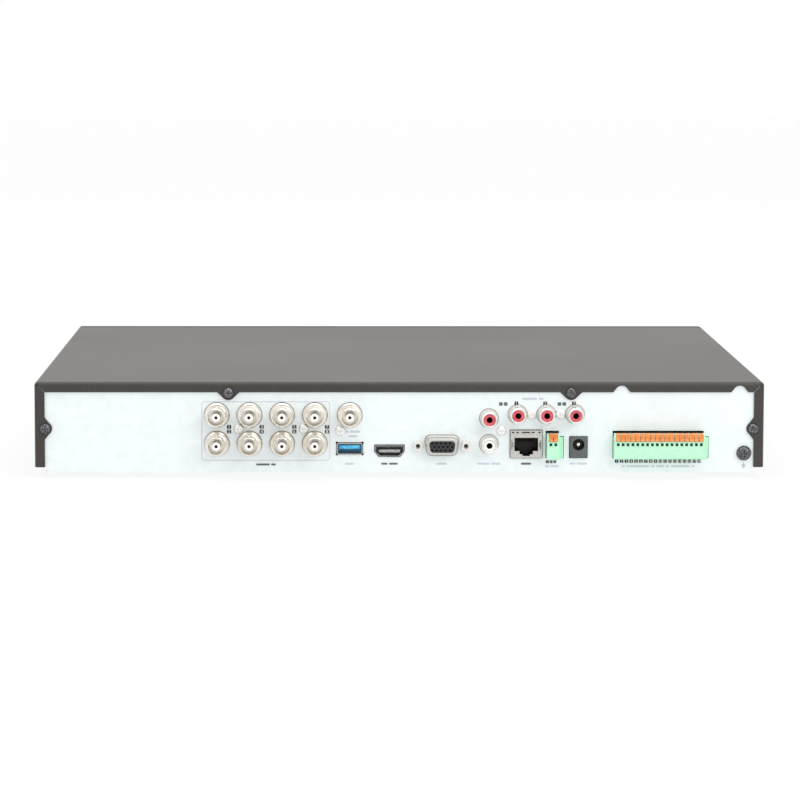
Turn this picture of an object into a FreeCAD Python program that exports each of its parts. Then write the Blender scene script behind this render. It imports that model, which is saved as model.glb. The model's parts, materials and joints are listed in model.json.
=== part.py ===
"""Digital video recorder: a low sheet-metal case with a row of camera, network, audio and alarm sockets at
the rear, one hard disk fitted and a second bay free, and a side fan.

Millimetres, +Z up. -Y is the rear connector panel, +Y the front fascia, +X is to the right when the rear
panel is looked at. The origin is under the middle of the overall box, on the surface that the feet stand on.
"""

import FreeCAD
import Part
import math
import os

V = FreeCAD.Vector

# ---------------------------------------------------------------- driving dimensions: case
width = 380.0
depth = 320.0
body_height = 47.5
foot_height = 2.5
foot_stem_radius = 2.5
foot_side_inset = 22.0
foot_end_inset = 30.0
cover_wall = 1.0
chassis_wall = 1.0
slip = 0.3                  # clearance between the sliding cover and the chassis
panel_gap = 0.1             # between the cover's rear lip and the rear panel
bend_radius = 2.0
lip_width = 5.3
pan_inset = 6.0             # the base pan is this much narrower than the case on each side
skirt_rise = 2.85           # the cover's sides stop this far above the pan's underside
side_wall_height = 16.0
fascia_depth = 9.0
fascia_wall = 2.0
seam = 0.3                  # between cover and fascia
port_reach = 13.0           # how far the longest sockets stand out past the rear lip

# cover screws and tabs
top_tab_radius = 3.8
top_tab_centre = 5.6        # its screw, from the case's top
side_tab_radius = 3.5
side_tab_centre = 5.6       # its screw, from the case's side
tab_root = 11.8             # width of a tab where it leaves the lip
top_tab_inset = 100.8       # from the case's side to a top tab
side_tab_height = 23.1      # above the pan's underside
notch_radius = 3.5
notch_insets = (74.4, 12.8)  # from the right-hand side
screw_clearance = 0.2
cover_screw_head_radius = 2.65
m3_radius = 1.5
m3_head_radius = 2.55
m3_head_height = 1.9
m3_length = 5.0

# boards
standoff_height = 5.2
standoff_radius = 3.0
board_thickness = 1.6
board_depth = 90.0
board_left_inset = 300.0    # board's left edge, from the case's right-hand side
board_right_inset = 26.0
board_setback = 0.6         # behind the rear panel
cutout_gap = 0.35           # all round a socket in the rear panel
processor_inset = 160.0
processor_setback = 62.0    # in front of the board's rear edge
processor_size = 23.0
processor_height = 2.0
heatsink_side = 36.0
heatsink_height = 13.0
heatsink_fins = 10

# sockets: places are from the right-hand side of the case, heights from the board's top face
bnc_inset = 234.3           # the column nearest the right
bnc_pitch = 17.0
bnc_columns = 4
bnc_low = 7.4
bnc_row = 15.0
bnc_out_inset = 216.1
bnc_collar_radius = 6.4
bnc_tube_radius = 4.83
bnc_bore_radius = 4.05
bnc_insulator_radius = 2.25
bnc_contact_radius = 0.85
bnc_stem_radius = 5.0
housing_depth = 12.0
housing_margin = 8.0
housing_screw_side = 5.7    # from a camera column to its block's fixing screw

phono_sleeve_radius = 4.15
phono_root_radius = 3.7     # its part inside the housing
phono_insulator_radius = 3.0
phono_bore_radius = 1.6
phono_collar_radius = 4.8
phono_collar_proud = 1.0    # past the rear panel's outer face
phono_reach = 9.0             # past the rear lip
phono_stack_inset = 143.6
phono_stack_low = 7.2
phono_stack_row = 13.5
phono_row_inset = 98.7        # the one nearest the right
phono_row_pitch = 15.0
phono_row_count = 3
phono_row_height = 22.8

data_inset = 216.1
data_height = 4.8
data_size = (13.2, 5.8)
data_relief_radius = 0.75
data_wall = 0.35
digital_inset = 195.4
digital_height = 3.6
digital_size = (15.2, 5.9)
analog_inset = 168.1
analog_height = 6.5
analog_screw_spacing = 24.99
analog_root_size = (18.9, 10.6)
analog_nose_size = (16.9, 8.6)
analog_core_size = (14.3, 6.1)
lan_inset = 124.1
lan_size = (16.5, 14.4)
lan_length = 21.0
dc_inset = 96.8
dc_size = (9.05, 10.9)
dc_length = 14.0
dc_bore_radius = 3.1
dc_bore_height = 6.9
dc_pin_radius = 1.0
ground_inset = 10.3
ground_height = 10.2        # above the pan's underside

# pluggable spring terminals
terminal_pitch = 2.54
alarm_poles = 18
alarm_inset = 78.6          # left edge of the plug, from the right-hand side
serial_poles = 2
serial_inset = 113.6
plug_height = 12.9
plug_reach = 8.6            # past the rear lip
plug_insertion = 7.5
plug_end_wall = 0.6
header_end = 2.6            # keying wall at the right-hand end of a header
lever_height = 4.1
lever_travel = 1.5
lever_depth = 4.9           # from the plug's face to the lever's inner end
lever_end_gap = 0.2         # behind a lever that is pressed right in
lever_proud = 0.9
lever_side_gap = 0.08
pocket_wall = 0.24          # between two levers
pocket_wall_setback = 0.8   # behind the plug's face
ledge_rise = 0.9            # of the thumb ledge's sloping top

# front: heights are above the pan's underside, insets from the left-hand side
window_inset = 14.0
window_rise = 26.0
window_height = 13.0
window_thickness = 1.4
front_data_inset = 40.0
front_data_rise = 12.0
front_board_inset = 26.0
front_board_rise = 6.0
front_board_height = 32.0
front_board_length = 96.0
front_board_gap = 3.0       # behind the front wall
led_inset = 62.0
led_pitch = 9.0
led_count = 3
led_radius = 1.5
ir_inset = 104.0
ir_size = 7.0
hook_width = 8.0
hook_thickness = 1.6
hook_drop = 6.0             # below the inside of the fascia's top
hook_insets = (133.0, 28.5)

# drive
drive_width = 101.6
drive_length = 147.0
drive_height = 26.1
drive_lid = 1.1
drive_wall = 2.2
drive_side_inset = 30.0     # from the case's side
drive_front_gap = 14.0
drive_pad_height = 3.0
drive_pad_radius = 6.0
drive_screw_hole_radius = 2.0
drive_hole_across = 95.25
drive_hole_along = 44.45
drive_hole_first = 41.28    # from the drive's socket end
drive_socket_offsets = (6.0, 23.0)   # data and power socket, from the drive's middle
drive_port_shift = 10.0     # the board's two drive ports, to the right of those sockets
lead_radii = (1.1, 1.3)
lead_plug_length = 11.0
lead_plug_widths = (11.0, 15.0)
platter_radius = 47.5
platter_thickness = 1.27
platter_gap = 4.0
hub_radius = 12.5
arm_length = 48.0
pivot_offset = (20.0, -55.0)  # arm's pivot from the spindle

# fan
fan_size = 40.0
fan_depth = 10.0
fan_bore_radius = 19.0
fan_hub_radius = 10.5
fan_hole_spacing = 32.0
fan_from_rear = 52.0        # fan's centre, from the rear panel
blade_count = 7
blade_tip_gap = 0.7
axle_radius = 1.5

# ---------------------------------------------------------------- derived levels
rear = port_reach - (depth + port_reach) / 2
front = rear + depth
right = width / 2
base = foot_height
top = foot_height + body_height
floor = base + chassis_wall
shelf = base + skirt_rise
panel_out = rear + cover_wall + panel_gap
panel_in = panel_out + chassis_wall
panel_top = top - cover_wall - slip
pan_half = right - pan_inset
side_out = right - cover_wall - slip
side_in = side_out - chassis_wall
fascia_back = front - fascia_depth
front_wall_in = fascia_back - chassis_wall
cover_front = fascia_back - seam
board_bottom = floor + standoff_height
board_top = board_bottom + board_thickness
board_left = right - board_left_inset
board_right = right - board_right_inset
board_rear = panel_in + board_setback
board_front = board_rear + board_depth
side_tab_z = base + side_tab_height
processor_x = right - processor_inset
processor_y = board_rear + processor_setback
drive_socket_xs = [-right + drive_side_inset + drive_width / 2 + offset for offset in drive_socket_offsets]
drive_port_xs = [x + drive_port_shift for x in drive_socket_xs]


# ---------------------------------------------------------------- building helpers
def block(x, y, z):
    """Box between three (low, high) pairs."""
    return Part.makeBox(x[1] - x[0], y[1] - y[0], z[1] - z[0], V(x[0], y[0], z[0]))


def around(centre, size):
    """(low, high) pair of a length centred on a place."""
    return (centre - size / 2, centre + size / 2)


def rod(radius, start, end):
    """Cylinder from one point to another."""
    line = V(*end) - V(*start)
    return Part.makeCylinder(radius, line.Length, V(*start), line)


def joined(pieces):
    """One solid made of touching or overlapping pieces."""
    whole = pieces[0].fuse(pieces[1:]) if len(pieces) > 1 else pieces[0]
    return whole.removeSplitter()


def group(pieces):
    """Several separate solids in one node."""
    return Part.makeCompound(pieces)


def prism(points, y):
    """Polygon in the XZ plane, extruded between two Y places."""
    wire = Part.makePolygon([V(px, y[0], pz) for px, pz in points + points[:1]])
    return Part.Face(wire).extrude(V(0, y[1] - y[0], 0))


def softened(solid, radius, wanted):
    """Fillets the edges whose middle point passes the test."""
    edges = [e for e in solid.Edges if wanted(e.CenterOfMass, e)]
    return solid.makeFillet(radius, edges)


def is_along(edge, axis):
    """True for a straight edge along X, Y or Z, given as 0, 1 or 2."""
    box = edge.BoundBox
    spans = (box.XLength, box.YLength, box.ZLength)
    return all((span > 1e-6) == (k == axis) for k, span in enumerate(spans))


def rounded_bar(x, y, z, radius, axis):
    """Box with its four edges along one axis rounded."""
    return softened(block(x, y, z), radius, lambda middle, edge: is_along(edge, axis))


def turned(profile, x, z):
    """Solid of revolution about a line along Y at x, z. Profile points are (radius, distance out of the
    rear panel's inner face)."""
    points = [V(radius, -out, 0) for radius, out in profile]
    face = Part.Face(Part.makePolygon(points + points[:1]))
    solid = face.revolve(V(0, 0, 0), V(0, 1, 0), 360)
    solid.translate(V(x, panel_in, z))
    return solid


def screw(head_radius, head_height, radius, length, place, into):
    """Pan-head screw with a cross recess. Its head seats at place, and its shank runs along into."""
    head = Part.makeCylinder(head_radius, head_height)
    head = softened(head, head_height * 0.6, lambda middle, edge: middle.z > head_height * 0.9
                    and edge.Length > head_radius * 6)
    arm = head_radius * 1.2
    slot = head_radius * 0.22
    depth_of_cross = head_height * 0.6
    cross = joined([
        block((-arm / 2, arm / 2), (-slot / 2, slot / 2), (head_height - depth_of_cross, head_height + 1)),
        block((-slot / 2, slot / 2), (-arm / 2, arm / 2), (head_height - depth_of_cross, head_height + 1)),
    ])
    shank = Part.makeCylinder(radius, length, V(0, 0, -length))
    solid = joined([head.cut(cross), shank])
    solid.Placement = FreeCAD.Placement(V(*place), FreeCAD.Rotation(V(0, 0, -1), V(*into)))
    return solid


def dee(x, z, size, y, radius=2.4, lean=10.0):
    """D-shaped prism, wide side up, as on a D-type connector."""
    wide, high = size
    shift = high * math.tan(math.radians(lean))
    corners = [(-wide / 2, high / 2), (wide / 2, high / 2), (wide / 2 - shift, -high / 2),
               (-wide / 2 + shift, -high / 2)]
    solid = prism([(x + px, z + pz) for px, pz in corners], y)
    return softened(solid, min(radius, high * 0.4), lambda middle, edge: is_along(edge, 1))


# ---------------------------------------------------------------- places shared by several pieces
def bnc_places():
    """Centres of the camera sockets, column by column, then the monitor socket."""
    columns = [right - bnc_inset - bnc_pitch * k for k in reversed(range(bnc_columns))]
    rows = (board_top + bnc_low + bnc_row, board_top + bnc_low)
    inputs = [(x, z) for x in columns for z in rows]
    return inputs + [(right - bnc_out_inset, board_top + bnc_low + bnc_row)]


def phono_stack_places():
    """Upper red socket, then the lower white one."""
    x = right - phono_stack_inset
    return [(x, board_top + phono_stack_low + phono_stack_row), (x, board_top + phono_stack_low)]


def phono_row_places():
    """The row of three sockets, left to right."""
    z = board_top + phono_row_height
    return [(right - phono_row_inset - phono_row_pitch * k, z) for k in reversed(range(phono_row_count))]


def housing_screw_places():
    """Screws that hold the socket housings to the rear panel."""
    mid = board_top + bnc_low + bnc_row / 2 + 0.3
    columns = [x for x, z in bnc_places()[:-1:2]]
    places = [(columns[k] - housing_screw_side, mid) for k in (1, 3)]
    places.append((right - bnc_out_inset - housing_screw_side + 0.8, mid - 1.0))
    row = phono_row_places()
    places += [((row[k][0] + row[k + 1][0]) / 2, row[k][1]) for k in range(phono_row_count - 1)]
    upper, lower = phono_stack_places()
    places.append((upper[0] + 6.6, (upper[1] + lower[1]) / 2 + 0.2))
    return places


def cover_screw_places():
    """(x, z, on_side) of the four screws through the cover's rear lip."""
    high = top - top_tab_centre
    across = right - side_tab_centre
    return [(-right + top_tab_inset, high, False), (right - top_tab_inset, high, False),
            (-across, side_tab_z, True), (across, side_tab_z, True)]


def analog_screw_places():
    """The two threaded posts beside the D socket."""
    x, z = right - analog_inset, board_top + analog_height
    return [(x - analog_screw_spacing / 2, z), (x + analog_screw_spacing / 2, z)]


def standoff_places():
    """Six posts under the main board."""
    edge = 5.0
    xs = (board_left + edge, (board_left + board_right) / 2, board_right - edge)
    ys = (board_rear + housing_depth + 14.0, board_front - edge)
    return [(x, y) for x in xs for y in ys]


def drive_origin(bay):
    """Left rear corner of the drive in bay -1 (fitted) or +1 (free)."""
    left = -right + drive_side_inset if bay < 0 else right - drive_side_inset - drive_width
    return left, front_wall_in - drive_front_gap - drive_length


def drive_holes(bay):
    """Bottom holes of a drive in a bay."""
    left, near = drive_origin(bay)
    inset = (drive_width - drive_hole_across) / 2
    return [(left + inset + dx, near + drive_hole_first + dy)
            for dx in (0, drive_hole_across) for dy in (0, drive_hole_along)]


def fan_centre():
    """(y, z) of the fan's axis; it stands on the left-hand side wall."""
    return panel_in + fan_from_rear, shelf + chassis_wall + slip + fan_size / 2


def foot_places():
    """Centres of the four feet."""
    across = right - foot_side_inset
    return [(side * across, y) for side in (-1, 1) for y in (rear + foot_end_inset, front - foot_end_inset)]


def plug_x(inset, poles):
    """(left, right) of a terminal plug."""
    left = right - inset
    return left, left + poles * terminal_pitch + 2 * plug_end_wall


# terminal heights, from the board's top face
plug_low = board_top + 0.3
plug_high = plug_low + plug_height
lever_low = plug_high - lever_height + 0.4
wire_hole_z = lever_low - 1.6
header_low = board_top
header_high = plug_low + 10.6
header_front = rear - 1.4
plug_back = header_front - 0.2
plug_front = rear - plug_reach
pocket_back = plug_front + lever_depth + lever_travel + lever_end_gap
socket_low = header_low + 1.7
socket_high = header_high - 1.8

# front pieces behind the fascia
window_half = right - window_inset
window_z = base + window_rise
front_data_z = base + front_data_rise
front_board_z = (base + front_board_rise, base + front_board_rise + front_board_height)
front_board_left = -right + front_board_inset
hook_z = top - fascia_wall - hook_drop


# ---------------------------------------------------------------- case
def standoff(x, y):
    """Pressed-in post with a tapped hole."""
    return rod(standoff_radius, (x, y, floor), (x, y, board_bottom))


def drive_pad(x, y):
    """Cup pressed up out of the base, which hides a drive screw's head from below."""
    return rod(drive_pad_radius, (x, y, floor), (x, y, floor + drive_pad_height))


def panel_cutouts():
    """Everything that passes through the rear panel."""
    span = (panel_out - 1, panel_in + 1)
    gap = cutout_gap
    cuts = [rod(bnc_collar_radius + gap, (x, span[0], z), (x, span[1], z)) for x, z in bnc_places()]
    for x, z in phono_stack_places() + phono_row_places():
        cuts.append(rod(phono_collar_radius + gap, (x, span[0], z), (x, span[1], z)))
    for x, z in housing_screw_places():
        cuts.append(rod(m3_radius + screw_clearance, (x, span[0], z), (x, span[1], z)))
    for x, z, on_side in cover_screw_places():
        cuts.append(rod(m3_radius + screw_clearance, (x, span[0], z), (x, span[1], z)))
    data_x, data_z = right - data_inset, board_top + data_height
    half_w, half_h = data_size[0] / 2 + gap, data_size[1] / 2 + gap
    cuts.append(block((data_x - half_w, data_x + half_w), span, (data_z - half_h, data_z + half_h)))
    for sx in (-1, 1):
        for sz in (-1, 1):
            cx, cz = data_x + sx * data_size[0] / 2, data_z + sz * data_size[1] / 2
            cuts.append(rod(data_relief_radius, (cx, span[0], cz), (cx, span[1], cz)))
    digital_x, digital_z = right - digital_inset, board_top + digital_height
    cuts.append(prism(digital_outline(digital_x, digital_z, gap), span))
    analog_x, analog_z = right - analog_inset, board_top + analog_height
    root = (analog_root_size[0] + 2 * gap, analog_root_size[1] + 2 * gap)
    cuts.append(dee(analog_x, analog_z, root, span, 3.2))
    for x, z in analog_screw_places():
        cuts.append(rod(1.8, (x, span[0], z), (x, span[1], z)))
    lan_x = around(right - lan_inset, lan_size[0] + 2 * gap)
    cuts.append(rounded_bar(lan_x, span, (board_top - gap, board_top + lan_size[1] + gap), 0.5, 1))
    dc_x = around(right - dc_inset, dc_size[0] + 2 * gap)
    cuts.append(rounded_bar(dc_x, span, (board_top - gap, board_top + dc_size[1] + gap), 0.4, 1))
    for inset, poles in ((alarm_inset, alarm_poles), (serial_inset, serial_poles)):
        low, high = plug_x(inset, poles)
        cuts.append(block((low - gap, high + gap), span, (plug_low - 0.6, plug_high + 0.9)))
        cuts.append(block((high, high + header_end + gap), span, (plug_low - 0.6, header_high + gap)))
    x, z = right - ground_inset, base + ground_height
    cuts.append(rod(2.0 + screw_clearance, (x, span[0], z), (x, span[1], z)))
    return cuts


def make_chassis():
    """Base pan, side walls, rear panel and front wall in one folded sheet, with its posts and pads."""
    def folded_edge(middle, edge):
        outside = abs(middle.y - panel_out) < 0.01
        top_edge = is_along(edge, 0) and middle.z > panel_top - 0.01
        side_edge = is_along(edge, 2) and abs(middle.x) > side_out - 0.01
        return outside and (top_edge or side_edge)

    run = (panel_in, fascia_back)
    wall = chassis_wall
    pieces = [block((-pan_half, pan_half), run, (base, floor))]
    for side in (-1, 1):
        outer = sorted((side * pan_half, side * (pan_half - wall)))
        pieces.append(block(outer, run, (base, shelf + wall)))
        shelf_x = sorted((side * (pan_half - wall), side * side_out))
        pieces.append(block(shelf_x, run, (shelf, shelf + wall)))
        wall_x = sorted((side * side_in, side * side_out))
        pieces.append(block(wall_x, run, (shelf, shelf + side_wall_height)))
    # rear panel, with a return flange along its top
    lower = rounded_bar((-pan_half, pan_half), (panel_out, panel_in), (base, shelf + 8), 2.0, 1)
    upper = rounded_bar((-side_out, side_out), (panel_out, panel_in), (shelf, panel_top), 1.6, 1)
    flange = block((-side_out + 4, side_out - 4), (panel_out, panel_in + 8), (panel_top - wall, panel_top))
    shell = softened(joined([lower, upper, flange]), chassis_wall * 0.9, folded_edge)
    pieces.append(shell)
    # front wall
    wall_top = top - fascia_wall - 2.0
    pieces.append(rounded_bar((-side_out, side_out), (front_wall_in, fascia_back), (shelf, wall_top), 1.6, 1))
    pieces.append(block((-side_out + 4, side_out - 4), (front_wall_in - 7, fascia_back),
                        (wall_top - wall, wall_top)))
    # fan plate on the left-hand wall
    fan_y, fan_z = fan_centre()
    plate = rounded_bar((-side_out, -side_in), around(fan_y, fan_size + 6),
                        (shelf, fan_z + fan_size / 2 + 1.5), 2.0, 0)
    pieces.append(plate)
    pieces += [standoff(x, y) for x, y in standoff_places()]
    pads = [drive_pad(x, y) for bay in (-1, 1) for x, y in drive_holes(bay)]
    pieces += pads
    chassis = joined(pieces)

    cuts = panel_cutouts()
    cuts += [rod(m3_radius, (x, y, base - 1), (x, y, board_bottom + 1)) for x, y in standoff_places()]
    for bay in (-1, 1):
        for x, y in drive_holes(bay):
            seat = floor + drive_pad_height - wall
            cuts.append(rod(drive_screw_hole_radius, (x, y, base - 1), (x, y, top)))
            cuts.append(rod(drive_pad_radius - wall, (x, y, base - 1), (x, y, seat)))
    cuts += [rod(foot_stem_radius, (x, y, base - 1), (x, y, floor + 1)) for x, y in foot_places()]
    # fan opening and its four holes
    cuts.append(rod(fan_bore_radius - 0.5, (-right, fan_y, fan_z), (-side_in + 2, fan_y, fan_z)))
    half = fan_hole_spacing / 2
    for dy in (-half, half):
        for dz in (-half, half):
            cuts.append(rod(m3_radius + screw_clearance, (-right, fan_y + dy, fan_z + dz),
                            (-side_in + 2, fan_y + dy, fan_z + dz)))
    cuts += base_vents()
    cuts += front_wall_cutouts()
    return chassis.cut(cuts)


def base_vents():
    """Rows of slots through the base, under the board."""
    cuts = []
    slot_width, slot_length, slot_pitch, count = 2.4, 26.0, 6.0, 16
    middle_x = right - 150.0
    middle_y = (board_rear + board_front) / 2 + 6.0
    for k in range(count):
        x = middle_x + (k - (count - 1) / 2) * slot_pitch
        cuts.append(rounded_bar(around(x, slot_width), around(middle_y, slot_length),
                                (base - 1, floor + 1), slot_width * 0.49, 2))
    return cuts


def front_wall_cutouts():
    """Openings for the lamps, the receiver, the front socket and the fascia's hooks."""
    span = (front_wall_in - 1, fascia_back + 1)
    cuts = []
    for k in range(led_count):
        x = -right + led_inset + led_pitch * k
        cuts.append(rod(led_radius + 0.5, (x, span[0], window_z), (x, span[1], window_z)))
    cuts.append(block(around(-right + ir_inset, ir_size + 2.0), span, around(window_z, ir_size + 2.0)))
    data_x = around(-right + front_data_inset, data_size[0] + 2 * cutout_gap)
    cuts.append(block(data_x, span, around(front_data_z, data_size[1] + 2 * cutout_gap)))
    for x in hook_places():
        cuts.append(block(around(x, hook_width + 1.0), span, around(hook_z, hook_thickness + 2.2)))
    return cuts


def hook_places():
    """X of the fascia's four snap hooks."""
    return [sign * (right - inset) for sign in (-1, 1) for inset in hook_insets]


def tab_plate(x, z, on_side):
    """Ear of the rear lip round a cover screw: a disc with flared roots."""
    span = (rear, rear + cover_wall)
    radius = side_tab_radius if on_side else top_tab_radius
    centre = side_tab_centre if on_side else top_tab_centre
    disc = rod(radius, (x, span[0], z), (x, span[1], z))
    edge = lip_width - 0.05
    half_root, half_nose = tab_root / 2, radius * 0.8
    reach = centre - edge + radius * 0.6
    if on_side:
        sign = 1 if x > 0 else -1
        outer = sign * (right - edge)
        inner = outer - sign * reach
        web = prism([(outer, z - half_root), (inner, z - half_nose), (inner, z + half_nose),
                     (outer, z + half_root)], span)
    else:
        outer = top - edge
        inner = outer - reach
        web = prism([(x - half_root, outer), (x - half_nose, inner), (x + half_nose, inner),
                     (x + half_root, outer)], span)
    return [disc, web]


def lip_notch(x):
    """Half-round relief in the top lip, with flared mouth."""
    span = (rear - 1, rear + cover_wall + 0.01)
    edge = top - lip_width
    disc = rod(notch_radius, (x, span[0], edge), (x, span[1], edge))
    flare = prism([(x - notch_radius - 1.4, edge - 0.5), (x - notch_radius + 0.6, edge + 1.9),
                   (x + notch_radius - 0.6, edge + 1.9), (x + notch_radius + 1.4, edge - 0.5)], span)
    return [disc, flare]


def side_vents():
    """Upright slots in both sides of the cover."""
    cuts = []
    slot_width, slot_height, slot_pitch = 2.6, 15.0, 5.0
    fan_y, fan_z = fan_centre()
    ranks = ((fan_y, 8), (front - 90.0, 12))
    for side in (-1, 1):
        across = sorted((side * (right - cover_wall - 1), side * (right + 1)))
        for middle, count in ranks:
            for k in range(count):
                y = middle + (k - (count - 1) / 2) * slot_pitch
                cuts.append(rounded_bar(across, around(y, slot_width), around(fan_z + 2, slot_height * 2),
                                        slot_width * 0.49, 0))
    return cuts


def make_top_cover():
    """Folded top and sides with a turned-in lip round the rear panel, four screw ears and two reliefs."""
    def outer_bends(middle, edge):
        along_y = is_along(edge, 1) and middle.z > top - 1
        along_x = is_along(edge, 0) and middle.y < rear + 1 and middle.z > top - 1
        upright = is_along(edge, 2) and middle.y < rear + 1
        return along_y or along_x or upright

    outer = softened(block((-right, right), (rear, cover_front), (shelf, top)), bend_radius, outer_bends)
    in_x, in_y, in_z = right - cover_wall, rear + cover_wall, top - cover_wall
    below, ahead = shelf - 5, cover_front + 5

    def inner_bends(middle, edge):
        along_y = is_along(edge, 1) and middle.z > in_z - 1
        along_x = is_along(edge, 0) and middle.y < in_y + 1 and middle.z > in_z - 1
        upright = is_along(edge, 2) and middle.y < in_y + 1
        return along_y or along_x or upright

    inner = block((-in_x, in_x), (in_y, ahead), (below, in_z))
    inner = softened(inner, bend_radius - cover_wall, inner_bends)
    window = block((-right + lip_width, right - lip_width), (rear - 1, in_y + 0.001),
                   (below, top - lip_width))
    cover = outer.cut([inner, window])
    ears = [piece for x, z, on_side in cover_screw_places() for piece in tab_plate(x, z, on_side)]
    cover = joined([cover] + ears)
    cuts = [rod(m3_radius + screw_clearance, (x, rear - 1, z), (x, in_y + 1, z))
            for x, z, on_side in cover_screw_places()]
    for inset in notch_insets:
        cuts += lip_notch(right - inset)
    # mitre line at each top corner of the lip
    for side in (-1, 1):
        start = V(side * (right - lip_width - 0.3), 0, top - lip_width - 0.3)
        mitre_length = (lip_width - bend_radius * 0.4) * math.sqrt(2)
        slit = Part.makeBox(mitre_length, 3, 0.4, V(0, 0, -0.2))
        turn = FreeCAD.Rotation(V(0, 1, 0), -45 if side > 0 else -135)
        slit.Placement = FreeCAD.Placement(V(start.x, rear - 1.5, start.z), turn)
        cuts.append(slit.common(block((-right, right), (rear - 1, in_y), (0, top + 1))))
    cuts += side_vents()
    return cover.cut(cuts)


def make_fascia():
    """Moulded front with a window recess, a socket opening and four snap hooks."""
    shell = block((-right, right), (fascia_back, front), (base, top))
    shell = softened(shell, bend_radius, lambda middle, edge: is_along(edge, 1))
    shell = softened(shell, 1.4, lambda middle, edge: middle.y > front - 0.01)
    hollow = block((-right + fascia_wall, right - fascia_wall), (fascia_back - 1, front - 3.2),
                   (base + fascia_wall, top - fascia_wall))
    recess = rounded_bar((-window_half, window_half), (front - window_thickness, front + 1),
                         around(window_z, window_height), 2.0, 1)
    cuts = [hollow, recess]
    for k in range(led_count):
        x = -right + led_inset + led_pitch * k
        cuts.append(rod(led_radius + 0.1, (x, fascia_back, window_z), (x, front, window_z)))
    receiver_window = ir_size + 1.0
    cuts.append(block(around(-right + ir_inset, receiver_window), (fascia_back, front),
                      around(window_z, receiver_window)))
    data_x = around(-right + front_data_inset, data_size[0] + 2 * cutout_gap)
    data_z = around(front_data_z, data_size[1] + 2 * cutout_gap)
    cuts.append(rounded_bar(data_x, (fascia_back, front + 1), data_z, 0.6, 1))
    hooks = []
    for x in hook_places():
        arm = block(around(x, hook_width), (front_wall_in - 2.4, front - 2.0), around(hook_z, hook_thickness))
        barb_back, barb_front = front_wall_in - 2.4, front_wall_in - 0.3
        low = hook_z + hook_thickness / 2
        barb = Part.Face(Part.makePolygon([V(x - hook_width / 2, barb_back, low),
                                           V(x - hook_width / 2, barb_front, low),
                                           V(x - hook_width / 2, barb_front, low + 0.9),
                                           V(x - hook_width / 2, barb_back, low)]))
        hooks += [arm, barb.extrude(V(hook_width, 0, 0))]
    return joined([shell.cut(cuts)] + hooks)


def make_window():
    """Smoked strip in the fascia, in front of the lamps and the receiver."""
    gap = 0.1
    return rounded_bar((-window_half + gap, window_half - gap), (front - window_thickness, front - 0.2),
                       around(window_z, window_height - 2 * gap), 1.9, 1)


def make_feet():
    """Push-in rubber feet."""
    feet = []
    for x, y in foot_places():
        pad = Part.makeCone(7.6, 9.0, foot_height, V(x, y, 0))
        stem = rod(foot_stem_radius, (x, y, foot_height - 0.5), (x, y, floor + 0.4))
        head = Part.makeCone(3.4, 2.0, 1.4, V(x, y, floor))
        feet.append(joined([pad, stem, head]))
    return group(feet)


# ---------------------------------------------------------------- fasteners
def make_cover_screws():
    head = (cover_screw_head_radius, m3_head_height)
    return group([screw(*head, m3_radius, m3_length, (x, rear, z), (0, 1, 0))
                  for x, z, on_side in cover_screw_places()])


def make_ground_screw():
    """Screw with a captive washer for the earth lead."""
    x, z = right - ground_inset, base + ground_height
    washer_thickness = 0.8
    seat = panel_out - washer_thickness
    washer = rod(3.9, (x, seat, z), (x, panel_out, z))
    body = screw(3.4, 2.4, 2.0, 7.0, (x, seat, z), (0, 1, 0))
    return joined([washer, body])


def make_pan_head_screws():
    """Housing, board, fan and drive screws, all of one kind."""
    def one(place, into, length):
        return screw(m3_head_radius, m3_head_height, m3_radius, length, place, into)

    screws = [one((x, panel_out, z), (0, 1, 0), 6.0) for x, z in housing_screw_places()]
    screws += [one((x, y, board_top), (0, 0, -1), board_thickness + 4.0) for x, y in standoff_places()]
    fan_y, fan_z = fan_centre()
    half = fan_hole_spacing / 2
    fan_face = -side_in + fan_depth
    screws += [one((fan_face, fan_y + dy, fan_z + dz), (-1, 0, 0), fan_depth + chassis_wall)
               for dy in (-half, half) for dz in (-half, half)]
    seat = floor + drive_pad_height - chassis_wall
    screws += [one((x, y, seat), (0, 0, 1), chassis_wall + 4.5) for x, y in drive_holes(-1)]
    return group(screws)


# ---------------------------------------------------------------- boards
def make_main_board():
    thickness = (board_bottom, board_top)
    board = rounded_bar((board_left, board_right), (board_rear, board_front), thickness, 1.5, 2)
    return board.cut([rod(m3_radius + screw_clearance, (x, y, 0), (x, y, top)) for x, y in standoff_places()])


def chip(x, y, size, height):
    """Flat package on the board, with its edges just broken."""
    body = block(around(x, size[0]), around(y, size[1]), (board_top, board_top + height))
    return softened(body, min(0.25, height * 0.3), lambda middle, edge: middle.z > board_top + height - 0.01)


def can(x, y, radius, height):
    """Aluminium electrolytic."""
    body = rod(radius, (x, y, board_top), (x, y, board_top + height))
    body = softened(body, 0.5, lambda middle, edge: middle.z > board_top + height - 0.01)
    groove = Part.makeTorus(radius + 0.25, 0.6, V(x, y, board_top + 1.8))
    return body.cut(groove)


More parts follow.
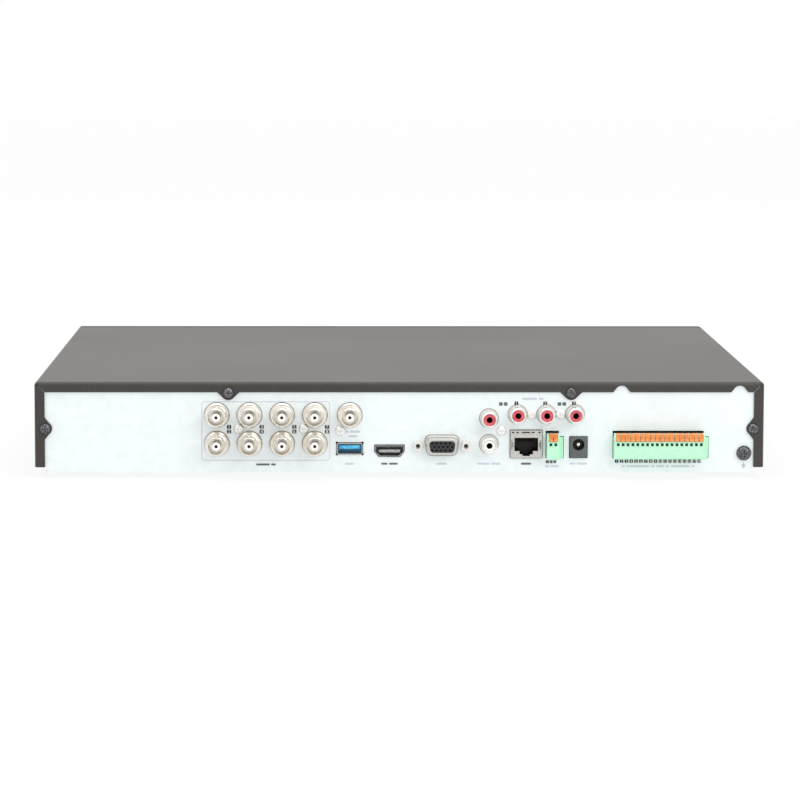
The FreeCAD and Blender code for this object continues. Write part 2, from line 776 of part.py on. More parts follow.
def make_board_components():
    """Chips, capacitors, coils, battery and pin sockets of the main board."""
    pieces = [chip(processor_x, processor_y, (processor_size, processor_size), processor_height)]
    for side in (-1, 1):
        for k in range(2):
            pieces.append(chip(processor_x + side * 36.0, processor_y - 9 + 18 * k, (9.0, 13.0), 1.1))
    for k in range(3):
        pieces.append(chip(right - 280.0 + 24.0 * k, board_rear + 40.0, (12.0, 12.0), 1.2))
    pieces.append(chip(right - 124.0, board_rear + 38.0, (16.0, 13.0), 5.6))
    pieces.append(chip(right - 96.0, board_rear + 52.0, (10.0, 10.0), 4.6))
    pieces.append(chip(right - 80.0, board_rear + 52.0, (10.0, 10.0), 4.6))
    pieces.append(chip(right - 60.0, board_rear + 36.0, (10.0, 8.0), 1.6))
    for k in range(4):
        pieces.append(can(right - 100.0 + 12.0 * k, board_rear + 70.0, 4.0, 9.5))
    battery = rod(10.0, (right - 44.0, board_rear + 66.0, board_top), (right - 44.0, board_rear + 66.0,
                                                                       board_top + 4.6))
    pieces.append(softened(battery, 0.5, lambda middle, edge: middle.z > board_top + 4.5))
    for x, wide in zip(drive_port_xs, (13.0, 16.0)):
        pieces.append(chip(x, board_front - 4.0, (wide, 7.6), 7.0))
    return group(pieces)


def make_heatsink():
    """Extruded block with straight fins, on the processor."""
    side = heatsink_side
    foot = board_top + processor_height
    plate_top = foot + 3.0
    plate = block(around(processor_x, side), around(processor_y, side), (foot, plate_top))
    fin_thickness = 1.2
    pitch = (side - fin_thickness) / (heatsink_fins - 1)
    low = processor_x - side / 2
    blades = [block((low + pitch * k, low + pitch * k + fin_thickness), around(processor_y, side),
                    (plate_top - 0.5, foot + heatsink_height)) for k in range(heatsink_fins)]
    gap = block(around(processor_x, side + 2), around(processor_y, 3.0),
                (plate_top, foot + heatsink_height + 1))
    return joined([plate] + blades).cut(gap)


def make_front_board():
    """Upright board behind the front wall, with lamps and the remote receiver."""
    face = front_wall_in - front_board_gap
    span = (face - board_thickness, face)
    board = block((front_board_left, front_board_left + front_board_length), span, front_board_z)
    notch = block(around(-right + front_data_inset, data_size[0]), (span[0] - 1, span[1] + 1),
                  around(front_data_z, data_size[1]))
    pieces = [board.cut(notch)]
    for k in range(led_count):
        x = -right + led_inset + led_pitch * k
        lamp = rod(led_radius, (x, face, window_z), (x, fascia_back + 1.5, window_z))
        pieces.append(softened(lamp, 1.0, lambda middle, edge: middle.y > fascia_back + 1.4))
    x = -right + ir_inset
    pieces.append(block(around(x, ir_size), (face, fascia_back - 0.4), around(window_z, ir_size)))
    return group(pieces)


# ---------------------------------------------------------------- coaxial sockets
tip_out = panel_in - rear + port_reach       # from the rear panel's inner face to the longest tips
phono_out = panel_in - rear + phono_reach


def make_bnc_shells():
    """Turned shells with a collar, a tube and two bayonet studs each."""
    collar_end = chassis_wall + 3.2
    profile = [
        (bnc_insulator_radius, -housing_depth), (bnc_stem_radius, -housing_depth), (bnc_stem_radius, 0),
        (bnc_collar_radius, 0), (bnc_collar_radius, collar_end - 0.5), (bnc_collar_radius - 0.5, collar_end),
        (bnc_tube_radius + 0.3, collar_end), (bnc_tube_radius - 0.5, collar_end + 0.4),
        (bnc_tube_radius - 0.5, collar_end + 1.1), (bnc_tube_radius, collar_end + 1.6),
        (bnc_tube_radius, tip_out - 0.35), (bnc_tube_radius - 0.3, tip_out), (bnc_bore_radius + 0.2, tip_out),
        (bnc_bore_radius, tip_out - 0.3), (bnc_bore_radius, tip_out - 8.5),
        (bnc_insulator_radius, tip_out - 8.5),
    ]
    stud_radius, stud_reach, stud_back = 1.0, 5.55, 5.2
    shells = []
    for x, z in bnc_places():
        y = panel_in - tip_out + stud_back
        studs = [rod(stud_radius, (x, y, z + sign * (bnc_bore_radius + 0.3)), (x, y, z + sign * stud_reach))
                 for sign in (-1, 1)]
        shells.append(joined([turned(profile, x, z)] + studs))
    return group(shells)


def make_bnc_insulators():
    profile = [(bnc_contact_radius, -housing_depth), (bnc_insulator_radius, -housing_depth),
               (bnc_insulator_radius, tip_out - 1.0), (bnc_insulator_radius - 0.3, tip_out - 0.7),
               (bnc_contact_radius + 0.15, tip_out - 0.7), (bnc_contact_radius, tip_out - 0.9)]
    return group([turned(profile, x, z) for x, z in bnc_places()])


def make_centre_contacts():
    """Spring sockets of the coaxial jacks and the pin of the power jack."""
    bnc = [(0.45, -housing_depth - 1), (bnc_contact_radius, -housing_depth - 1),
           (bnc_contact_radius, tip_out - 2.0), (0.45, tip_out - 2.0)]
    phono = [(1.3, -housing_depth), (phono_bore_radius, -housing_depth), (phono_bore_radius, phono_out - 2.2),
             (1.3, phono_out - 2.2)]
    pieces = [turned(bnc, x, z) for x, z in bnc_places()]
    pieces += [turned(phono, x, z) for x, z in phono_stack_places() + phono_row_places()]
    x, z = right - dc_inset, board_top + dc_bore_height
    nose = rear + 0.6
    pin = rod(dc_pin_radius, (x, nose + 10.0, z), (x, nose, z))
    pieces.append(softened(pin, 0.5, lambda middle, edge: middle.y < nose + 0.01))
    return group(pieces)


def make_phono_sleeves():
    """Turned sleeves, each with a shoulder that seats on its housing's collar."""
    seat = chassis_wall + phono_collar_proud
    profile = [(phono_insulator_radius, -housing_depth), (phono_root_radius, -housing_depth),
               (phono_root_radius, seat), (phono_sleeve_radius, seat),
               (phono_sleeve_radius, phono_out - 0.4), (phono_sleeve_radius - 0.35, phono_out),
               (phono_insulator_radius + 0.3, phono_out), (phono_insulator_radius, phono_out - 0.35)]
    return group([turned(profile, x, z) for x, z in phono_stack_places() + phono_row_places()])


def phono_insulator(x, z):
    return turned([(phono_bore_radius, -housing_depth), (phono_insulator_radius, -housing_depth),
                   (phono_insulator_radius, phono_out - 0.9),
                   (phono_insulator_radius - 0.25, phono_out - 0.6),
                   (phono_bore_radius + 0.2, phono_out - 0.6), (phono_bore_radius, phono_out - 0.85)], x, z)


def phono_collar(x, z):
    """Round spigot of a housing, which reaches through the rear panel."""
    return rod(phono_collar_radius, (x, panel_in, z), (x, panel_out - phono_collar_proud, z))


def make_jack_housings():
    """Moulded blocks that carry the coaxial sockets behind the rear panel."""
    back = panel_in + housing_depth
    span = (panel_in, back)
    places = bnc_places()
    high = board_top + bnc_low + bnc_row + housing_margin
    low = board_top
    columns = [x for x, z in places[:-1:2]]
    stem = [rod(bnc_stem_radius, (x, panel_in - 1, z), (x, back + 1, z)) for x, z in places]
    tapped = [rod(m3_radius, (x, panel_in - 1, z), (x, panel_in + 8, z)) for x, z in housing_screw_places()]
    pieces = []
    margin = housing_margin + 0.4
    for k in range(0, bnc_columns, 2):
        pieces.append(rounded_bar((columns[k] - margin, columns[k + 1] + margin), span, (low, high), 0.8, 1))
    x = places[-1][0]
    # the monitor socket's block is bridged over the socket below it
    bridge = board_top + data_height + data_size[1] / 2 + 1.2
    pieces.append(rounded_bar((x - margin, x + margin), span, (bridge, high), 0.8, 1))
    pieces.append(block((x - margin, x - margin + 1.4), (panel_in + 2, back), (low, bridge + 1)))
    pieces.append(block((x + margin - 1.4, x + margin), (panel_in + 2, back), (low, bridge + 1)))
    single = joined(pieces[-3:])
    pieces = pieces[:-3] + [single]
    # stacked audio sockets
    stack = phono_stack_places()
    x = stack[0][0]
    body = rounded_bar((x - 6.4, x + 6.8), span, (low, stack[0][1] + 6.6), 0.8, 1)
    ear = block((x + 5.0, x + 9.4), span, (low, phono_row_places()[0][1] - 6.6))
    collars = [phono_collar(*place) for place in stack]
    pieces.append(joined([body, ear] + collars))
    # row of audio sockets on a bridge over the network and power jacks
    row = phono_row_places()
    row_x = (row[0][0] - 6.8, row[-1][0] + 6.8)
    under = row[0][1] - 6.2
    over = row[0][1] + 6.6
    leg = panel_in + lan_length + 4.0
    beam = rounded_bar(row_x, span, (under, over), 0.8, 1)
    roof = block(row_x, (panel_in + 4, leg + 3), (over - 2.0, over))
    foot = block(row_x, (leg, leg + 3), (low, over))
    collars = [phono_collar(*place) for place in row]
    pieces.append(joined([beam, roof, foot] + collars))
    sleeves = [rod(phono_root_radius, (cx, panel_out - 3, cz), (cx, back + 1, cz)) for cx, cz in stack + row]
    return group([piece.cut(stem + tapped + sleeves) for piece in pieces])


# ---------------------------------------------------------------- flat sockets
def data_shell(x, z, mouth, inward):
    """Folded shell of a flat serial socket. Mouth is its open end's y; inward is +1 or -1."""
    length = 14.0
    span = sorted((mouth, mouth + inward * length))
    outer = rounded_bar(around(x, data_size[0]), span, around(z, data_size[1]), 0.6, 1)
    inner_w, inner_h = data_size[0] - 2 * data_wall, data_size[1] - 2 * data_wall
    inner_span = sorted((mouth - inward, mouth + inward * (length - data_wall)))
    return outer.cut(rounded_bar(around(x, inner_w), inner_span, around(z, inner_h), 0.3, 1))


def data_tongue(x, z, mouth, inward):
    """Contact tongue and back wall."""
    inner_w, inner_h = data_size[0] - 2 * data_wall, data_size[1] - 2 * data_wall
    back = sorted((mouth + inward * 8.8, mouth + inward * 13.6))
    wall = rounded_bar(around(x, inner_w - 0.1), back, around(z, inner_h - 0.1), 0.3, 1)
    tongue_z = (z - 0.1, z + inner_h / 2 - 0.65)
    tongue = block(around(x, 11.1), sorted((mouth + inward * 0.7, mouth + inward * 9.5)), tongue_z)
    tongue = softened(tongue, 0.3, lambda middle, edge: abs(middle.y - mouth - inward * 0.7) < 0.01)
    return joined([wall, tongue])


data_mouth = rear - 0.6
front_data_mouth = front - 0.8


def make_data_shells():
    return group([data_shell(right - data_inset, board_top + data_height, data_mouth, 1),
                  data_shell(-right + front_data_inset, front_data_z, front_data_mouth, -1)])


def make_data_tongues():
    return group([data_tongue(right - data_inset, board_top + data_height, data_mouth, 1),
                  data_tongue(-right + front_data_inset, front_data_z, front_data_mouth, -1)])


def digital_outline(x, z, grow):
    """Outline of the digital picture socket: square shoulders above, cut corners below."""
    half_w, half_h = digital_size[0] / 2 + grow, digital_size[1] / 2 + grow
    shoulder, step = z - half_h * 0.1, 2.3
    return [(x - half_w, z + half_h), (x + half_w, z + half_h), (x + half_w, shoulder),
            (x + half_w - step, z - half_h), (x - half_w + step, z - half_h), (x - half_w, shoulder)]


def make_digital_shell():
    """Digital picture socket: folded shell with two spring windows in its top."""
    x, z = right - digital_inset, board_top + digital_height
    mouth = rear + 0.2
    outer = prism(digital_outline(x, z, 0.0), (mouth, mouth + 11.0))
    outer = softened(outer, 0.5, lambda middle, edge: is_along(edge, 1))
    inner = prism(digital_outline(x, z, -0.5), (mouth - 1, mouth + 10.5))
    windows = [block(around(x + dx, 3.0), (mouth + 2.0, mouth + 7.0), (z + 1, z + 5)) for dx in (-4.0, 4.0)]
    return outer.cut([inner] + windows)


def make_digital_tongue():
    x, z = right - digital_inset, board_top + digital_height
    mouth = rear + 0.2
    wall = prism(digital_outline(x, z, -0.6), (mouth + 8.0, mouth + 10.4))
    tongue = block(around(x, 11.2), (mouth + 1.0, mouth + 8.5), (z - 0.9, z + 0.6))
    return joined([wall, softened(tongue, 0.25, lambda middle, edge: middle.y < mouth + 1.01)])


def make_analog_shell():
    """Drawn shell of the analogue picture socket on its flange plate."""
    x, z = right - analog_inset, board_top + analog_height
    flange = rounded_bar(around(x, 30.8), (panel_in, panel_in + 0.8), around(z, 12.4), 1.2, 1)
    root = dee(x, z, analog_root_size, (rear - 0.5, panel_in + 0.4), 3.0)
    root = softened(root, 0.9, lambda middle, edge: middle.y < rear - 0.49)
    nose_tip = rear - 6.4
    nose = dee(x, z, analog_nose_size, (nose_tip, rear + 1), 2.6)
    nose = softened(nose, 0.4, lambda middle, edge: middle.y < nose_tip + 0.01)
    core = dee(x, z, analog_core_size, (nose_tip - 1, panel_in + 2), 2.0)
    holes = [rod(1.5, (hx, panel_in - 1, hz), (hx, panel_in + 2, hz)) for hx, hz in analog_screw_places()]
    return joined([flange, root, nose]).cut([core] + holes)


def make_analog_insulator():
    """Moulded core with fifteen contact holes, and the body behind the flange."""
    x, z = right - analog_inset, board_top + analog_height
    nose_tip = rear - 6.4
    core = dee(x, z, analog_core_size, (nose_tip + 0.3, panel_in + 1), 2.0)
    body = rounded_bar(around(x, 19.0), (panel_in + 0.8, panel_in + 9.0), (board_top, z + 5.4), 0.6, 1)
    pitch, row_pitch = 2.29, 1.85
    holes = []
    for row in (-1, 0, 1):
        for k in range(5):
            hx = x + (k - 2) * pitch + (0.5 if row == 0 else -0.5) * pitch * 0.5
            hz = z + row * row_pitch
            holes.append(rod(0.5, (hx, nose_tip - 1, hz), (hx, nose_tip + 5, hz)))
    return joined([core, body]).cut(holes)


def make_analog_jackscrews():
    """Hexagonal threaded posts either side of the D socket."""
    across, reach = 4.8, 4.6
    screws = []
    for x, z in analog_screw_places():
        corner = across / math.sqrt(3)
        outline = [(x + corner * math.cos(math.radians(60 * k)), z + corner * math.sin(math.radians(60 * k)))
                   for k in range(6)]
        head = prism(outline, (panel_out - reach, panel_out))
        cone = Part.makeCone(corner - 0.35, corner - 0.35 + reach + 2, reach + 2, V(x, panel_out - reach, z),
                             V(0, 1, 0))
        stud = rod(1.42, (x, panel_out, z), (x, panel_in + 4, z))
        bore = rod(1.2, (x, panel_out - reach - 1, z), (x, panel_out - 0.6, z))
        screws.append(joined([head.common(cone), stud]).cut(bore))
    return group(screws)


def lan_opening(x, y, grow=0.0):
    """Stepped mouth for a network plug: wide for the body, narrow below for its latch."""
    high = board_top + 10.6
    steps = ((12.3, 7.0), (7.0, 8.7), (3.9, 9.6))
    return joined([block(around(x, w + 2 * grow), y, (high - drop - grow, high + grow)) for w, drop in steps])


lan_mouth = rear - 0.5


def make_lan_shield():
    """Folded shield with a stepped mouth and spring fingers on its top and sides."""
    x = right - lan_inset
    wall = 0.35
    back = lan_mouth + lan_length
    outer = block(around(x, lan_size[0]), (lan_mouth, back), (board_top, board_top + lan_size[1]))
    outer = softened(outer, 0.3, lambda middle, edge: is_along(edge, 1))
    inner = block(around(x, lan_size[0] - 2 * wall), (lan_mouth + wall, back - wall),
                  (board_top - 1, board_top + lan_size[1] - wall))
    face = (lan_mouth - 1, lan_mouth + wall + 0.01)
    high = board_top + lan_size[1]
    cuts = [inner, lan_opening(x, (lan_mouth - 1, lan_mouth + 1))]
    # slots left by the spring fingers folded in above and beside the mouth
    for middle, length in ((-6.9, 1.4), (-4.6, 1.4), (-0.2, 4.4), (3.6, 1.6), (6.9, 1.4)):
        cuts.append(block(around(x + middle, length), face, (high - 1.4, high - 0.7)))
    for side in (-1, 1):
        cuts.append(block(around(x + side * 6.5, 1.2), face, (board_top + 6.0, board_top + 7.8)))
        cuts.append(block(around(x + side * 7.5, 0.4), face, (board_top + 4.6, board_top + 9.2)))
    return outer.cut(cuts)


def make_lan_insert():
    """Moulded body inside the shield, with the plug's cavity."""
    x = right - lan_inset
    wall, gap = 0.35, 0.05
    body = block(around(x, lan_size[0] - 2 * (wall + gap)),
                 (lan_mouth + wall + gap, lan_mouth + lan_length - wall - gap),
                 (board_top, board_top + lan_size[1] - wall - gap))
    return body.cut(lan_opening(x, (lan_mouth - 1, lan_mouth + 13.0)))


def make_dc_jack():
    """Square power jack with a round mouth."""
    x, z = right - dc_inset, board_top + dc_bore_height
    nose = rear - 0.4
    body = block(around(x, dc_size[0]), (nose, nose + dc_length), (board_top, board_top + dc_size[1]))
    body = softened(body, 0.35, lambda middle, edge: is_along(edge, 1) or middle.y < nose + 0.01)
    mouth = rod(dc_bore_radius, (x, nose - 1, z), (x, nose + 10.0, z))
    pin_seat = rod(dc_pin_radius, (x, nose + 9, z), (x, rear + 10.6, z))
    return body.cut([mouth, pin_seat])


# ---------------------------------------------------------------- pluggable terminals
def lever_x(inset, k):
    """(low, high) of the k-th lever's pocket."""
    low = plug_x(inset, 0)[0] + plug_end_wall + terminal_pitch * k
    return low + pocket_wall / 2, low + terminal_pitch - pocket_wall / 2


def make_header(inset, poles):
    """Board-mounted shroud, open to the rear, with a keying wall at its right-hand end."""
    low, high = plug_x(inset, poles)
    back = panel_in + 9.0
    body = block((low, high + header_end), (header_front, back), (header_low, header_high))
    body = softened(body, 0.4, lambda middle, edge: is_along(edge, 1))
    pocket = block((low + 0.8, high - 0.8), (header_front - 1, header_front + plug_insertion + 1.0),
                   (socket_low, socket_high))
    key = block((high + header_end - 1.3, high + header_end + 1), (header_front - 1, header_front + 1.2),
                (header_low - 1, header_high + 1))
    return body.cut([pocket, key])


def make_plug(inset, poles):
    """Plug body with wire holes below and open-topped lever pockets above."""
    low, high = plug_x(inset, poles)
    body = block((low, high), (plug_front, plug_back), (plug_low, plug_high))
    body = softened(body, 0.35, lambda middle, edge: is_along(edge, 1) and middle.z < plug_low + 0.01)
    gap = 0.2
    tail = block((low + 0.8 + gap, high - 0.8 - gap), (plug_back - 0.5, header_front + plug_insertion),
                 (socket_low + gap, socket_high - gap))
    rib = block((low, high), (plug_front - 0.45, plug_front + 0.1), (plug_low + 0.5, plug_low + 1.1))
    row = (lever_x(inset, 0)[0], lever_x(inset, poles - 1)[1])
    cuts = [block(row, (plug_front - 1, plug_front + pocket_wall_setback), (lever_low, plug_high + 1))]
    for k in range(poles):
        x = lever_x(inset, k)
        cuts.append(block(x, (plug_front - 1, pocket_back), (lever_low, plug_high + 1)))
        middle = (x[0] + x[1]) / 2
        cuts.append(block(around(middle, 1.5), (plug_front - 1, pocket_back), around(wire_hole_z, 1.6)))
        # contact slot for the header's pin
        cuts.append(block(around(middle, 0.9), (header_front + 1.5, header_front + plug_insertion + 1),
                          around((socket_low + socket_high) / 2, 0.9)))
    return joined([body, tail, rib]).cut(cuts)


def make_lever(inset, k):
    """Press lever: a sloping face over a thumb ledge, which slides into its pocket."""
    x = lever_x(inset, k)
    low, high = x[0] + lever_side_gap, x[1] - lever_side_gap
    face = plug_front - lever_proud
    foot, head = lever_low + 0.1, plug_high + 0.25
    outline = [(plug_front + lever_depth, foot), (face + 0.2, foot), (face, foot + 0.2),
               (plug_front - 0.1, foot + 0.2 + ledge_rise), (plug_front + 0.6, head - 0.5),
               (plug_front + 1.2, head), (plug_front + lever_depth, head)]
    points = [V(low, y, z) for y, z in outline]
    lever = Part.Face(Part.makePolygon(points + points[:1])).extrude(V(high - low, 0, 0))
    return softened(lever, 0.1, lambda middle, edge: middle.y < face + 0.75 and is_along(edge, 0))


# ---------------------------------------------------------------- drive
drive_x, drive_y = drive_origin(-1)
drive_low = floor + drive_pad_height
drive_lid_low = drive_low + drive_height - drive_lid
spindle_x = drive_x + drive_width / 2
spindle_y = drive_y + drive_length - drive_wall - platter_radius - 1.0
pivot_x = spindle_x + pivot_offset[0]
pivot_y = spindle_y + pivot_offset[1]
deck = drive_low + 9.0          # floor of the drive's cavity
platter_levels = [deck + 3.0, deck + 3.0 + platter_thickness + platter_gap]


def make_drive_base():
    """Cast tub with a round well for the discs and a square one for the arm."""
    across, along = (drive_x, drive_x + drive_width), (drive_y, drive_y + drive_length)
    body = block(across, along, (drive_low, drive_lid_low))
    body = softened(body, 3.0, lambda middle, edge: is_along(edge, 2))
    well = rod(platter_radius + 1.0, (spindle_x, spindle_y, deck), (spindle_x, spindle_y, drive_lid_low + 1))
    arm_well = rounded_bar((drive_x + drive_wall + 1, drive_x + drive_width - drive_wall - 1),
                           (drive_y + 12.0, spindle_y - 20.0), (deck, drive_lid_low + 1), 4.0, 2)
    socket_x = sum(drive_socket_xs) / len(drive_socket_xs)
    socket = block(around(socket_x, 38.0), (drive_y - 1, drive_y + 7.0),
                   (drive_low + 2.0, drive_low + 6.5))
    blade = block(around(socket_x, 34.0), (drive_y + 0.5, drive_y + 7.5),
                  (drive_low + 2.6, drive_low + 3.8))
    holes = [rod(m3_radius, (x, y, drive_low - 1), (x, y, drive_low + 6)) for x, y in drive_holes(-1)]
    axle = rod(3.0, (spindle_x, spindle_y, deck - 1), (spindle_x, spindle_y, platter_levels[1] + 2))
    post = rod(2.5, (pivot_x, pivot_y, deck - 1), (pivot_x, pivot_y, platter_levels[1] + 3))
    tub = body.cut([well, arm_well, socket] + holes)
    return joined([tub, blade, axle, post])


def make_drive_lid():
    """Stamped lid with a shallow round rise over the discs."""
    lid = block((drive_x, drive_x + drive_width), (drive_y + 6, drive_y + drive_length),
                (drive_lid_low, drive_lid_low + drive_lid))
    lid = softened(lid, 3.0, lambda middle, edge: is_along(edge, 2))
    rise = Part.makeCone(platter_radius - 3.0, platter_radius - 4.0, 0.6,
                         V(spindle_x, spindle_y, drive_lid_low + drive_lid))
    dimple = Part.makeCone(10.0, 11.0, 0.6, V(spindle_x, spindle_y, drive_lid_low + drive_lid))
    return joined([lid, rise]).cut(dimple)


def make_platters():
    """Two discs on their hub."""
    hub_low, hub_high = deck + 0.8, platter_levels[1] + platter_thickness + 1.6
    hub = rod(hub_radius, (spindle_x, spindle_y, hub_low), (spindle_x, spindle_y, hub_high))
    discs = [rod(platter_radius, (spindle_x, spindle_y, z), (spindle_x, spindle_y, z + platter_thickness))
             for z in platter_levels]
    bore = rod(3.05, (spindle_x, spindle_y, deck), (spindle_x, spindle_y, platter_levels[1] + 2.3))
    return joined([hub] + discs).cut(bore)


def make_actuator():
    """Three arms on a pivot hub with a coil paddle behind, parked clear of the discs."""
    parked = math.radians(165.0)
    along = V(math.cos(parked), math.sin(parked), 0)
    across = V(-along.y, along.x, 0)
    pivot = V(pivot_x, pivot_y, 0)
    thickness = 1.0

    def plate(points, z, height):
        corners = [pivot + along * a + across * c + V(0, 0, z) for a, c in points]
        return Part.Face(Part.makePolygon(corners + corners[:1])).extrude(V(0, 0, height))

    gap = platter_gap
    levels = [platter_levels[0] - 1.9, platter_levels[0] + platter_thickness + (gap - thickness) / 2,
              platter_levels[1] + platter_thickness + 0.9]
    pieces = [plate([(4, -6.5), (arm_length - 12, -2.6), (arm_length, -1.2), (arm_length, 1.2),
                     (arm_length - 12, 2.6), (4, 6.5)], z, thickness) for z in levels]
    hub = rod(7.5, (pivot_x, pivot_y, levels[0]), (pivot_x, pivot_y, levels[2] + thickness))
    coil = plate([(-4, -5), (-14, -11), (-24, -9), (-24, 9), (-14, 11), (-4, 5)], levels[1] - 0.5, 2.0)
    coil_gap = plate([(-11, -4), (-20, -5), (-20, 5), (-11, 4)], levels[1] - 1.0, 3.0)
    bore = rod(2.55, (pivot_x, pivot_y, deck), (pivot_x, pivot_y, drive_lid_low))
    return joined(pieces + [hub, coil]).cut([coil_gap, bore])


# ---------------------------------------------------------------- fan
def make_fan_frame():
    """Square frame, with the motor plate on three spokes at its inner face."""
    y, z = fan_centre()
    outer_x, inner_x = -side_in, -side_in + fan_depth
    frame = rounded_bar((outer_x, inner_x), around(y, fan_size), around(z, fan_size), 2.5, 0)
    bore = rod(fan_bore_radius, (outer_x - 1, y, z), (inner_x + 1, y, z))
    half = fan_hole_spacing / 2
    holes = [rod(m3_radius + screw_clearance, (outer_x - 1, y + dy, z + dz), (inner_x + 1, y + dy, z + dz))
             for dy in (-half, half) for dz in (-half, half)]
    plate_thickness = 1.4
    plate_x = (inner_x - plate_thickness, inner_x)
    motor = rod(fan_hub_radius, (plate_x[0], y, z), (plate_x[1], y, z))
    spokes = []
    for k in range(3):
        spoke = block(plate_x, around(y, 2.4), (z, z + fan_bore_radius + 0.5))
        spoke.rotate(V(0, y, z), V(1, 0, 0), 30 + 120 * k)
        spokes.append(spoke)
    axle = rod(axle_radius, (outer_x + 2.4, y, z), (inner_x - 0.5, y, z))
    return joined([frame.cut([bore] + holes), motor, axle] + spokes)


def make_fan_rotor():
    """Hub with curved, pitched blades."""
    y, z = fan_centre()
    low, high = -side_in + 0.8, -side_in + fan_depth - 2.0
    middle = (low + high) / 2
    hub = rod(fan_hub_radius, (low, y, z), (high, y, z))
    hub_round = 0.8
    hub = softened(hub, hub_round, lambda centre, edge: centre.x < low + 0.01)
    tip = fan_bore_radius - blade_tip_gap
    swept = rod(tip, (low + hub_round + 0.2, y, z), (high - 0.3, y, z))
    swept = swept.cut(rod(fan_hub_radius - 1.5, (low, y, z), (high, y, z)))
    chord, camber, thickness, pitch = 13.0, 1.6, 0.7, 44.0
    half = chord / 2
    front_arc = Part.Arc(V(-half, 0, 0), V(0, camber, 0), V(half, 0, 0))
    back_arc = Part.Arc(V(half, -thickness, 0), V(0, camber - thickness, 0), V(-half, -thickness, 0))
    ends = [Part.LineSegment(V(half, 0, 0), V(half, -thickness, 0)),
            Part.LineSegment(V(-half, -thickness, 0), V(-half, 0, 0))]
    outline = Part.Wire([front_arc.toShape(), ends[0].toShape(), back_arc.toShape(), ends[1].toShape()])
    blades = []
    for k in range(blade_count):
        blade = Part.Face(outline).extrude(V(0, 0, tip + 1))
        blade.rotate(V(0, 0, 0), V(0, 0, 1), pitch)
        blade.translate(V(middle, y, z))
        blade.rotate(V(0, y, z), V(1, 0, 0), 360.0 / blade_count * k)
        blades.append(blade.common(swept))
    bore = rod(axle_radius + 0.05, (low + 1.2, y, z), (high + 1, y, z))
    return joined([hub] + blades).cut(bore)


# ---------------------------------------------------------------- drive leads
def lead_path(points):
    """Wire of straight runs joined by tangent arcs, each as large as its two runs allow."""
    corners = [V(*p) for p in points]
    edges = []
    start = corners[0]
    for before, corner, after in zip(corners, corners[1:], corners[2:]):
        back, ahead = (before - corner), (after - corner)
        turn = math.pi - back.getAngle(ahead)
        reach = 0.45 * min(back.Length, ahead.Length)
        radius = reach / math.tan(turn / 2)
        back.normalize()
        ahead.normalize()
        arc_start, arc_end = corner + back * reach, corner + ahead * reach
        bisector = back + ahead
        bisector.normalize()
        to_middle = radius / math.cos(turn / 2) - radius
        edges.append(Part.LineSegment(start, arc_start).toShape())
        edges.append(Part.Arc(arc_start, corner + bisector * to_middle, arc_end).toShape())
        print("lead radius", round(radius, 1))
        start = arc_end
    edges.append(Part.LineSegment(start, corners[-1]).toShape())
    return Part.Wire(edges)


def lead_tube(points, radius):
    """Round lead along a path."""
    wire = lead_path(points)
    first = wire.Edges[0]
    begin = first.valueAt(first.FirstParameter)
    tangent = first.tangentAt(first.FirstParameter)
    ring = Part.Wire(Part.Circle(begin, tangent, radius).toShape())
    tube = wire.makePipeShell([ring], True, True)
    expected = math.pi * radius ** 2 * wire.Length
    print("lead length", round(wire.Length, 1), "volume ratio", round(tube.Volume / expected, 4))
    return tube


def make_drive_leads():
    """Data and power leads from the board's two front-edge sockets to the drive, with a plug at each end."""
    board_end = board_front + lead_plug_length
    drive_end = drive_y - lead_plug_length
    gap = drive_end - board_end
    z0, z1 = board_top + 3.4, drive_low + 4.2
    pieces = []
    for port_x, socket_x, radius, wide in zip(drive_port_xs, drive_socket_xs, lead_radii, lead_plug_widths):
        pieces.append(lead_plug(port_x, (board_front + 0.2, board_end), z0, wide))
        pieces.append(lead_plug(socket_x, (drive_end, drive_y - 0.2), z1, wide))
        points = [(port_x, board_end, z0), (port_x, board_end + gap * 0.36, z0),
                  (socket_x, board_end + gap * 0.64, z1), (socket_x, drive_end, z1)]
        pieces.append(lead_tube(points, radius))
    return group(pieces)


def lead_plug(x, y, z, wide):
    """Moulded plug body."""
    return rounded_bar(around(x, wide), y, around(z, 5.2), 0.8, 1)


